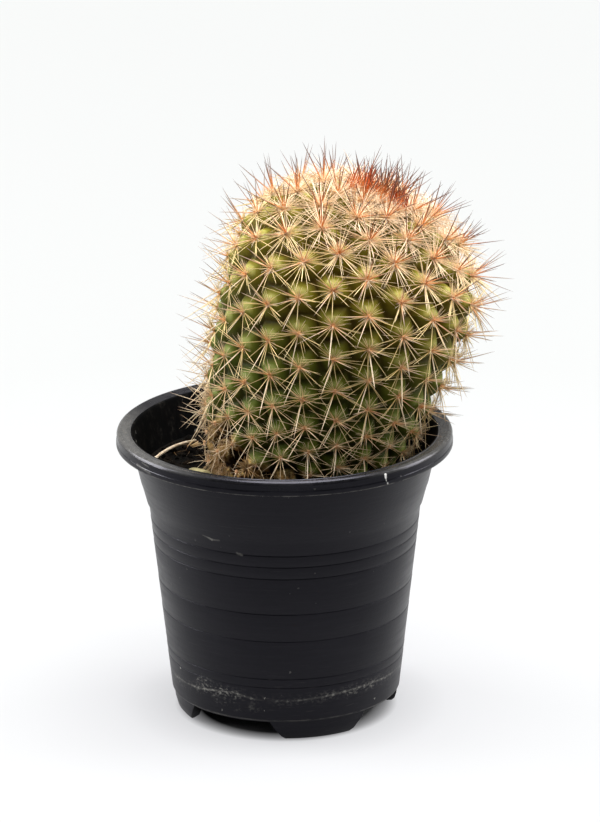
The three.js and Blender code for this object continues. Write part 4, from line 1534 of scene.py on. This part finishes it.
@dataclass
class DryFoot:
    """The withered corner's cover: matted tan hair down to the soil, and a last rusty tuft."""

    form: PlantForm
    patches: Sequence[HairPatch] = (
        HairPatch(170, (-4.5, 4.0), (-76.0, -42.0), (1.0, 2.4), 0.6, 0.9, 1.0),
        HairPatch(110, (-9.0, -4.0), (-72.0, -48.0), (2.6, 5.2), 1.1, 2.0, 0.6),
        HairPatch(50, (-6.0, -2.0), (-40.0, 16.0), (1.4, 3.0), 0.9, 1.0, 0.5),
    )
    hair_radius: float = 0.075
    tuft_count: int = 22
    felt_count: int = 90

    def hairs(self, random: np.random.Generator) -> Bristles:
        """Mats fine hair over the withered patches."""
        parts = []
        for patch in self.patches:
            count = patch.count
            level = random.uniform(*patch.levels, count)
            angle = np.radians(random.uniform(*patch.angles, count))
            normal, crownward, sideways = self.form.surface_frames(level, angle)
            flat = crownward * random.normal(-patch.droop, 0.8, count)[:, None]
            flat += sideways * random.normal(0.0, 1.0, count)[:, None]
            towards = unit(flat + normal * random.uniform(0.3, 1.1, count)[:, None])
            bend = random.normal(0.0, patch.curl, (count, 3))
            bend = bend - np.array([0.0, 0.0, 0.6 * patch.curl])
            length = random.uniform(*patch.lengths, count) + 0.8
            root = self.form.surface(level, angle) - normal * 1.5
            draw = random.uniform(0, 1, count)
            radius = self.hair_radius * random.uniform(0.7, 1.3, count)
            age = np.full(count, patch.age)
            hairs = Bristles(root, towards, length, radius, bend, draw, age)
            parts.append(hairs.kept(off_hollows(root, 1.7)))
        return Bristles.joined(parts)

    def tuft(self, random: np.random.Generator) -> Bristles:
        """Stands short rusty spines and felt on the last dry tubercle."""
        middle = np.array(LAST_KNOB.middle)
        outward = unit(middle - self.form.axis_points(np.array([0.0]))[0])
        outward = unit(outward + np.array([0.0, 0.0, 0.15]))
        crown = np.array([0.0, 0.0, 1.0])
        aside = unit(np.cross(outward, crown))
        tip = middle + outward * 2.0
        stiff, felt = self.tuft_count, self.felt_count
        count = stiff + felt
        turn = np.concatenate(
            [random.uniform(-math.pi, math.pi, stiff), random.normal(0.0, 0.9, felt)]
        )
        tilt = np.concatenate([random.uniform(35, 85, stiff), random.uniform(20, 85, felt)])
        tilt = np.radians(tilt)
        flat = crown * np.cos(turn)[:, None] + aside * np.sin(turn)[:, None]
        towards = unit(outward * np.cos(tilt)[:, None] + flat * np.sin(tilt)[:, None])
        length = np.concatenate([random.uniform(3.5, 6.8, stiff), random.uniform(1.6, 3.4, felt)])
        radius = np.concatenate([np.full(stiff, 0.13), np.full(felt, 0.1)])
        bend = random.normal(0.0, 0.35, (count, 3))
        age = np.concatenate([np.zeros(stiff), np.ones(felt)])
        root = tip + random.normal(0.0, 0.4, (count, 3)) - outward * 0.6
        return Bristles(root, towards, length, radius, bend, random.uniform(0, 1, count), age)

    def build(self) -> bpy.types.Object:
        """Makes the hair and the tuft in one piece."""
        random = np.random.default_rng(SEED + 6)
        taper = ((1.0, 0.0), (1.0, 0.3), (0.9, 0.6), (0.7, 0.85), (0.2, 1.0))
        places = Bristles.joined([self.hairs(random), self.tuft(random)])
        return SpineModel(sides=3, taper=taper).copies("withered_hair", places)


# ------------------------------------------------------------------------------ pot


@dataclass
class NurseryPot:
    """The moulded pot: rolled rim, flared collar, turned grooves, floor and four feet."""

    base_radius: float = 35.0
    wall_slope: float = 0.111
    wall_bottom: float = 7.1
    wall: float = 1.3
    collar_level: float = 67.5
    collar_step: float = 0.7
    collar_height: float = 1.2
    collar_slope: float = 0.235
    lip_bottom: float = 86.7
    floor_bottom: float = 6.6
    floor: float = 1.2
    inside_levels: tuple[float, ...] = (86.7, 68.5, 66.5, 12.0)
    foot_outline: Outline = (
        (29.1, 6.6),
        (29.5, 0.0),
        (32.1, 0.0),
        (33.3, 0.4),
        (34.2, 1.5),
        (34.9, 4.0),
    )
    rim_outline: Outline = (
        (48.3, 88.6),
        (50.1, 89.9),
        (51.2, 87.7),
        (51.3, 86.7),
        (52.5, 86.7),
        (52.5, 88.1),
        (52.34, 88.3),
        (52.34, 90.1),
        (52.0, 90.85),
        (51.2, 91.4),
        (48.3, 90.45),
        (48.0, 90.75),
        (47.4, 90.6),
        (47.1, 89.8),
    )
    grooves: tuple[float, ...] = (18.6, 21.6, 34.5, 43.8, 55.9, 59.9, 63.7)
    groove_depth: float = 0.15
    groove_height: float = 0.6
    faint_step: float = 74.4
    foot_gaps: tuple[tuple[float, float], ...] = (
        (62.8, 29.5),
        (152.8, 29.5),
        (-117.2, 29.5),
        (-31.6, 34.0),
    )
    foot_flare: float = 11.0
    foot_ring: float = 32.1
    gap_ring: float = 31.0
    gap_depth: float = 18.0
    gap_slack: float = 1.2
    drains: tuple[float, ...] = (62.8, 152.8, -117.2, -27.2)
    drain_radius: float = 4.0
    drain_ring: float = 20.0
    throat: float = 47.25
    segments: int = 192

    def wall_radius(self, height: float) -> float:
        """Finds the wall's outside radius: straight, then stepped out and flared."""
        straight = self.base_radius + self.wall_slope * min(height, self.collar_level)
        if height <= self.collar_level:
            return straight
        return straight + self.collar_step + self.collar_slope * (height - self.collar_level)

    def outline(self) -> list[tuple[float, float]]:
        """Draws the wall in section, from under the floor round the rim to the floor's top."""
        under, radius = self.floor_bottom, self.wall_radius
        points = [(0.6, under), (8.0, under), (28.6, under), *self.foot_outline, (35.2, under)]
        points.append((radius(self.wall_bottom), self.wall_bottom))
        half = self.groove_height / 2
        for level in self.grooves:
            full = radius(level)
            points += [(full, level - half), (full - self.groove_depth, level)]
            points.append((full, level + half))
        collar, faint, lip = self.collar_level, self.faint_step, self.lip_bottom
        points += [
            (radius(collar), collar),
            (radius(collar) + self.collar_step, collar + self.collar_height),
            (radius(faint) - 0.1, faint),
            (radius(faint) + 0.15, faint + 0.5),
            (radius(lip), lip),
            *self.rim_outline,
        ]
        points += [(radius(level) - self.wall, level) for level in self.inside_levels]
        floor_top = under + self.floor
        return [*points, (points[-1][0] - 2.2, floor_top), (0.6, floor_top)]

    def build(self) -> bpy.types.Object:
        """Turns the pot, rounds its edges, and cuts the gaps between its feet and the drains."""
        pot = Bench.turned("nursery_pot", self.outline(), self.segments)
        limit = {"limit_method": "ANGLE", "angle_limit": math.radians(24)}
        Bench.modify(pot, "BEVEL", width=0.22 * MM, segments=2, **limit)
        for middle, half in self.foot_gaps:
            Bench.cut(pot, self.foot_gap(math.radians(middle), half))
        for middle in self.drains:
            Bench.cut(pot, self.drain(math.radians(middle)))
        points = Bench.coordinates(pot)
        walls = np.array([self.wall_radius(height) for height in points[:, 2]])
        distance = np.hypot(points[:, 0], points[:, 1])
        inner = (distance < walls - 0.65) | ((points[:, 2] > 80.0) & (distance < self.throat))
        Bench.mark(pot, "inside", (inner & (points[:, 2] > 7.4)).astype(float))
        Bench.soften(pot, 35.0)
        return pot

    def foot_gap(self, middle: float, half: float) -> bpy.types.Object:
        """Models the tapered block that parts two feet.

        Args:
            middle: The angle of its middle, in radians.
            half: Half its width at the ground, in degrees.

        Returns:
            The block, in place.
        """
        narrowed = math.sin(math.radians(half - self.foot_flare))
        half_top = self.foot_ring * narrowed + self.gap_slack
        half_ground = self.foot_ring * math.sin(math.radians(half))
        taper = half_top / half_ground
        Bench.let_go()
        bpy.ops.mesh.primitive_cube_add(size=1.0)
        block = bpy.context.object
        block.scale = Vector((2 * half_ground, self.gap_depth, self.floor_bottom + 0.95)) * MM
        bpy.ops.object.transform_apply(location=False, rotation=False, scale=True)
        bpy.ops.object.mode_set(mode="EDIT")
        bpy.ops.mesh.select_all(action="DESELECT")
        bpy.ops.object.mode_set(mode="OBJECT")
        for vertex in block.data.vertices:
            vertex.select = vertex.co.z > 0
        bpy.ops.object.mode_set(mode="EDIT")
        bpy.ops.transform.resize(value=(taper, 1.0, 1.0))
        bpy.ops.object.mode_set(mode="OBJECT")
        centre = (self.floor_bottom - 1.05) / 2
        ring = self.gap_ring
        block.rotation_euler.z = middle
        block.location = placed(ring * math.sin(middle), -ring * math.cos(middle), centre)
        return Bench.settle("foot_gap")

    def drain(self, middle: float) -> bpy.types.Object:
        """Models the plug of a drain hole."""
        ring = self.drain_ring
        spot = placed(ring * math.sin(middle), -ring * math.cos(middle), self.floor_bottom)
        Bench.let_go()
        bpy.ops.mesh.primitive_cylinder_add(
            vertices=40, radius=self.drain_radius * MM, depth=6.0 * MM, location=spot
        )
        return Bench.settle("drain_plug")


# ------------------------------------------------------------------------------ soil and finds


@dataclass
class SoilFill:
    """The potting mix that fills the pot, with crumbs and grit on its uneven top."""

    form: PlantForm
    level: float = 78.0
    bump: float = 0.6
    broad_wave: float = 0.3
    fine_wave: float = 0.8
    edge: float = 44.0
    rings: int = 46
    segments: int = 180
    outline: Outline = (
        (0.5, 8.1),
        (32.3, 8.1),
        (34.7, 12.3),
        (40.9, 66.5),
        (41.8, 68.5),
        (43.9, 77.0),
    )
    crumbs_strewn: int = 1500
    crumbs_edge: float = 0.965
    crumbs_clear: float = 27.0

    def height(self, x: Array, y: Array) -> Array:
        """Finds the top's height at places."""
        broad = np.sin(x * self.broad_wave) * np.cos(y * self.broad_wave)
        return self.level + self.bump * (broad + 0.5 * np.sin((x + y) * self.fine_wave))

    def build(self) -> bpy.types.Object:
        """Turns the filling, roughens its top, and cuts the hole that the plant stands in."""
        steps = [self.edge * (1 - i / (self.rings + 1)) for i in range(self.rings + 1)]
        outline = [*self.outline, *((radius, self.level) for radius in steps)]
        fill = Bench.turned("soil_fill", outline, self.segments)
        random = np.random.default_rng(SEED + 3)
        points = Bench.coordinates(fill)
        top = points[:, 2] > self.level - 0.1
        inner = np.clip((self.edge - np.hypot(points[:, 0], points[:, 1])) / 3.0, 0.0, 1.0)
        rough = random.normal(0.0, 0.28, len(points)).clip(-0.5, 0.5)
        lifted = self.height(points[:, 0], points[:, 1]) - self.level + rough
        points[:, 2] += np.where(top, inner * lifted, 0.0)
        Bench.reshape(fill, points)
        Bench.mark(fill, "draw", random.uniform(0.0, 0.6, len(points)))
        Bench.soften(fill, 50.0)
        return fill

    def crumbs(self) -> bpy.types.Object:
        """Strews crumbs over the top, between the pot's wall and the plant."""
        random = np.random.default_rng(SEED + 4)
        Bench.let_go()
        bpy.ops.mesh.primitive_ico_sphere_add(subdivisions=1, radius=MM, location=MIDDLE)
        shape, faces = Bench.lifted(Bench.settle("crumb_model"))
        wanted = self.crumbs_strewn
        distance = self.edge * np.sqrt(random.uniform(0.0, 1.0, wanted)) * self.crumbs_edge
        turn = random.uniform(0.0, 2 * math.pi, wanted)
        x, y = distance * np.cos(turn), distance * np.sin(turn)
        foot = self.form.axis_points(np.full(wanted, self.level - self.form.foot[2]))
        free = np.hypot(x - foot[:, 0], y - foot[:, 1]) > self.crumbs_clear
        x, y = x[free], y[free]
        count, size = len(x), len(shape)
        radius = random.gamma(2.0, 0.28, count).clip(0.25, 1.7)
        stretch = random.uniform(0.55, 1.3, (count, 1, 3))
        lumps = random.uniform(0.7, 1.2, (count, size, 1))
        local = shape[None] * lumps * stretch * radius[:, None, None]
        spot = np.stack([x, y, self.height(x, y) + radius * 0.25], axis=1)
        piece = copied_piece("soil_crumbs", local + spot[:, None], faces)
        Bench.mark(piece, "draw", np.repeat(random.uniform(0, 1, count), size))
        return piece


@dataclass
class SoilFinds:
    """What lies on the soil: the yellowish chip, the arching dead strand and some fine fibres."""

    soil: SoilFill
    chip_place: tuple[float, float] = (-27.0, -14.0)
    chip_size: tuple[float, float, float] = (4.4, 3.2, 2.8)
    loose_roots: int = 26
    wisp_count: int = 9
    strand_radius: float = 0.5
    seat: float = 0.35
    strand_route: Sequence[tuple[float, float, float]] = (
        (-42.9, 2.1, 0.0),
        (-40.1, 8.2, 0.7),
        (-35.8, 14.2, 1.2),
        (-31.0, 19.2, 1.4),
        (-28.0, 21.9, 1.2),
    )

    def chip(self) -> bpy.types.Object:
        """Models the worn chip: a ball, squashed, faceted and rounded again."""
        random = np.random.default_rng(SEED + 5)
        x, y = self.chip_place
        ground = float(self.soil.height(np.array(x), np.array(y)))
        Bench.let_go()
        bpy.ops.mesh.primitive_ico_sphere_add(subdivisions=3, radius=MM, location=MIDDLE)
        chip = Bench.settle("soil_chip")
        points = Bench.coordinates(chip)
        planes = unit(random.normal(0.0, 1.0, (11, 3)))
        reach = random.uniform(0.72, 0.95, 11)
        for plane, limit in zip(planes, reach):
            over = np.maximum(points @ plane - limit, 0.0)
            points -= over[:, None] * plane
        points *= np.array(self.chip_size)
        points += np.array([x, y, ground + self.seat + 2.0])
        Bench.reshape(chip, points)
        Bench.modify(chip, "SUBSURF", levels=1, render_levels=1)
        Bench.soften(chip, 60.0)
        return chip

    def cord_like(
        self, name: str, route: Array, radii: Sequence[float], resolution: int
    ) -> bpy.types.Object:
        """Models a dry stalk along a route of points, tapered by its radii.

        Args:
            name: The piece's name.
            route: Points in millimetres from the pot's middle.
            radii: Radius at each point, in millimetres.
            resolution: Faces round the stalk come from this bevel resolution.

        Returns:
            The stalk as a closed mesh.
        """
        curve = bpy.data.curves.new(name, "CURVE")
        curve.dimensions = "3D"
        curve.bevel_depth = MM
        curve.bevel_resolution = resolution
        curve.use_fill_caps = True
        spline = curve.splines.new("NURBS")
        spline.points.add(len(route) - 1)
        spline.order_u = 3
        spline.use_endpoint_u = True
        for point, spot, radius in zip(spline.points, route, radii):
            point.co = (*placed(*spot), 1.0)
            point.radius = radius
        stalk = bpy.data.objects.new(name, curve)
        bpy.context.scene.collection.objects.link(stalk)
        Bench.pick(stalk)
        bpy.ops.object.convert(target="MESH")
        stalk = Bench.settle(name)
        Bench.soften(stalk, 60.0)
        return stalk

    def strand(self) -> bpy.types.Object:
        """Arches the pale strand over the soil."""
        route = []
        for x, y, lift in self.strand_route:
            ground = float(self.soil.height(np.array(x), np.array(y)))
            route.append((x, y, ground + self.strand_radius + self.seat + lift))
        radii = [self.strand_radius * share for share in (0.95, 1.05, 1.05, 0.95, 0.6)]
        return self.cord_like("dry_strand", np.array(route), radii, 3)

    def fibres(self) -> bpy.types.Object:
        """Lays fine dead roots over the soil, and a papery wisp where the strand ends."""
        random = np.random.default_rng(SEED + 7)
        loose, wisp = self.loose_roots, self.wisp_count
        turn = random.uniform(0.0, 2 * math.pi, loose)
        away = random.uniform(30.0, 40.0, loose)
        x = np.concatenate([away * np.cos(turn), random.normal(-30.0, 0.5, wisp)])
        y = np.concatenate([away * np.sin(turn), random.normal(18.6, 0.5, wisp)])
        lift = np.concatenate([np.full(loose, 0.5), random.uniform(0.5, 1.3, wisp)])
        heading = np.concatenate(
            [turn + random.normal(1.6, 0.5, loose), random.normal(0.75, 0.16, wisp)]
        )
        slope = np.concatenate([np.full(loose, 0.03), random.uniform(0.02, 0.25, wisp)])
        towards = unit(np.stack([np.cos(heading), np.sin(heading), slope], axis=1))
        count = loose + wisp
        length = np.concatenate([random.uniform(4.0, 8.0, loose), random.uniform(3.5, 6.5, wisp)])
        bend = random.normal(0.0, 0.7, (count, 3)) * np.array([1.0, 1.0, 0.15])
        radius = np.concatenate([random.uniform(0.07, 0.12, loose), random.uniform(0.1, 0.2, wisp)])
        age = np.concatenate([random.uniform(0.0, 0.5, loose), np.full(wisp, 1.0)])
        draw = np.concatenate([random.uniform(-0.9, 0.2, loose), np.full(wisp, 1.3)])
        root = np.stack([x, y, self.soil.height(x, y) + lift], axis=1)
        hair = SpineModel(sides=3, taper=((1.0, 0.0), (1.0, 0.4), (0.8, 0.75), (0.3, 1.0)))
        return hair.copies("soil_fibres", Bristles(root, towards, length, radius, bend, draw, age))


# ------------------------------------------------------------------------------ studio


@dataclass
class Studio:
    """The plain pale room: floor, soft lights and the camera at the photograph's angle."""

    distance: float = 2077.0
    elevation: float = 21.04
    look_elevation: float = -18.51
    yaw: float = 0.143
    roll: float = -0.286
    focal_pixels: float = 6567.4
    sensor: float = 36.0
    lamps: Sequence[tuple[str, tuple[float, float, float], float, float]] = (
        ("top_softbox", (0.1, -0.1, 0.96), 0.7, 16.0),
        ("left_softbox", (-0.9, 0.25, 0.5), 0.6, 12.5),
        ("right_softbox", (0.9, 0.25, 0.55), 0.6, 9.0),
    )
    dim_wall: Colour = rgb(0.03, 0.03, 0.033)
    white_wall: Colour = rgb(0.85, 0.855, 0.86)
    backdrop: Colour = rgb(0.955, 0.96, 0.955)

    def camera(self) -> None:
        """Sets the camera where the photograph was taken from."""
        rise = math.radians(self.elevation)
        spot = placed(0.0, -self.distance * math.cos(rise), self.distance * math.sin(rise))
        yaw, tilt, roll = (math.radians(v) for v in (self.yaw, self.look_elevation, self.roll))
        level = math.cos(tilt)
        ahead = Vector((math.sin(yaw) * level, math.cos(yaw) * level, math.sin(tilt)))
        right = ahead.cross(Vector((0, 0, 1))).normalized()
        up = right.cross(ahead)
        rolled_right = right * math.cos(roll) + up * math.sin(roll)
        rolled_up = up * math.cos(roll) - right * math.sin(roll)
        turn = Matrix((rolled_right, rolled_up, -ahead)).transposed()
        Bench.let_go()
        bpy.ops.object.camera_add(location=spot, rotation=turn.to_euler())
        camera = bpy.context.object
        camera.name = "photo_camera"
        camera.data.sensor_width = self.sensor
        camera.data.lens = self.focal_pixels * self.sensor / max(PHOTO_SIZE)
        camera.data.clip_end = 20.0
        bpy.context.scene.camera = camera

    def floor(self) -> None:
        """Lays the floor."""
        Bench.let_go()
        bpy.ops.mesh.primitive_plane_add(size=12.0, location=(0.0, 2.0, 0.0))
        floor = Bench.settle("studio_floor")
        floor.data.materials.append(PaleFloor().build())

    def lamp(self, name: str, spot: tuple[float, float, float], size: float, power: float) -> None:
        """Hangs a square soft light that faces the plant."""
        Bench.let_go()
        bpy.ops.object.light_add(type="AREA", location=spot)
        lamp = bpy.context.object
        lamp.name = name
        lamp.data.size = size
        lamp.data.energy = power
        aim = Vector((0.0, 0.0, 0.11)) - Vector(spot)
        lamp.rotation_euler = aim.to_track_quat("-Z", "Y").to_euler()

    def light(self) -> None:
        """Lights the plant from all round, most from above and behind and least from the front."""
        for name, spot, size, power in self.lamps:
            self.lamp(name, spot, size, power)
        world = bpy.data.worlds.new("white_room")
        world.use_nodes = True
        world.node_tree.nodes.clear()
        sheet = NodeSheet(world.node_tree)
        way = sheet.add("ShaderNodeTexCoord").outputs["Generated"]
        split = sheet.add("ShaderNodeSeparateXYZ", {"Vector": way})
        behind = sheet.between(-0.6, 0.35, split.outputs["Y"])
        above = sheet.between(0.35, 0.95, split.outputs["Z"])
        bright = sheet.sum("MAXIMUM", behind, above)
        path = sheet.add("ShaderNodeLightPath").outputs
        room = sheet.ramp(bright, ((0.0, self.dim_wall), (1.0, self.white_wall)))
        room = sheet.mix(sheet.times(path["Is Glossy Ray"], 0.6), room, self.dim_wall)
        colour = sheet.mix(path["Is Camera Ray"], room, self.backdrop)
        sky = sheet.add("ShaderNodeBackground", {"Color": colour, "Strength": 1.0})
        sheet.add("ShaderNodeOutputWorld", {"Surface": sky.outputs[0]})
        bpy.context.scene.world = world
        bpy.context.scene.view_settings.view_transform = "Standard"


# ------------------------------------------------------------------------------ the whole


MADE: dict[Finish, bpy.types.Material] = {}


def finished(piece: bpy.types.Object, finish: Finish, slot: str, *nodes: str) -> None:
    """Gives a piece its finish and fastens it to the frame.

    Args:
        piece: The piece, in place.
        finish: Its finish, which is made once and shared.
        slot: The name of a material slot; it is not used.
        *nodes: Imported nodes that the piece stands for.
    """
    if finish not in MADE:
        MADE[finish] = finish.build()
    piece.data.materials.clear()
    piece.data.materials.append(MADE[finish])
    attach(piece, "root")
    if nodes:
        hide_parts(*nodes)
    triangles = sum(len(face.vertices) - 2 for face in piece.data.polygons)
    LOG.info("%s: %d triangles, finish %s", piece.name, triangles, finish.name)


def lined(piece: bpy.types.Object, finish: Finish, mark: str) -> None:
    """Gives the faces that carry a mark at every corner a finish of their own.

    Args:
        piece: The piece, with its main finish.
        finish: The finish of the marked faces.
        mark: The name of the numbers stored on the piece's vertices.
    """
    piece.data.materials.append(finish.build())
    values = piece.data.attributes[mark].data
    for face in piece.data.polygons:
        if all(values[corner].value > 0.5 for corner in face.vertices):
            face.material_index = 1


def main() -> None:
    """Builds the studio and every piece in order."""
    logging.basicConfig(level=logging.INFO, format="%(name)s: %(message)s")
    studio = Studio()
    studio.camera()
    studio.floor()
    studio.light()

    form = PlantForm()
    tubercles = Spiral(form).tubercles()
    soil = SoilFill(form)

    pot = NurseryPot().build()
    finished(pot, PotPlastic(), "pot_plastic", "pot")
    # The inside takes a darker, duller copy of the plastic as painted shade.
    lined(pot, ShadedPotInside(), "inside")
    finished(soil.build(), SoilMix(), "soil", "soil")
    finished(soil.crumbs(), SoilMix(), "soil")

    finished(CactusBody(form, tubercles).build(), CactusSkin(), "cactus_skin", "cactus")
    radials, centrals, crown = SpineCoat(tubercles, soil).build()
    finished(radials, SpineKind.RADIAL.value, "pale_spine")
    finished(centrals, SpineKind.CENTRAL.value, "rust_spine")
    finished(crown, SpineKind.CROWN.value, "rust_spine")
    wool = Wool(tubercles)
    felt = Fibre("rusty_felt", rgb(0.85, 0.55, 0.28), rgb(0.48, 0.19, 0.07), 1400.0)
    finished(wool.pads(), felt, "areole_wool")
    cream = Fibre("cream_wool", rgb(0.95, 0.82, 0.62), rgb(0.75, 0.55, 0.33), 700.0)
    finished(wool.tufts(), cream, "areole_wool")
    finished(DryFoot(form).build(), SpineKind.DRY.value, "dry_straw")

    finds = SoilFinds(soil)
    finished(finds.chip(), PebbleStone(), "pebble_stone", "pebble")
    straw = Fibre("pale_straw", rgb(0.75, 0.64, 0.48), rgb(0.5, 0.38, 0.25))
    finished(finds.strand(), straw, "dry_straw", "strand")
    finished(finds.fibres(), SpineKind.DRY.value, "dry_straw")


if __name__ == "__main__":
    main()
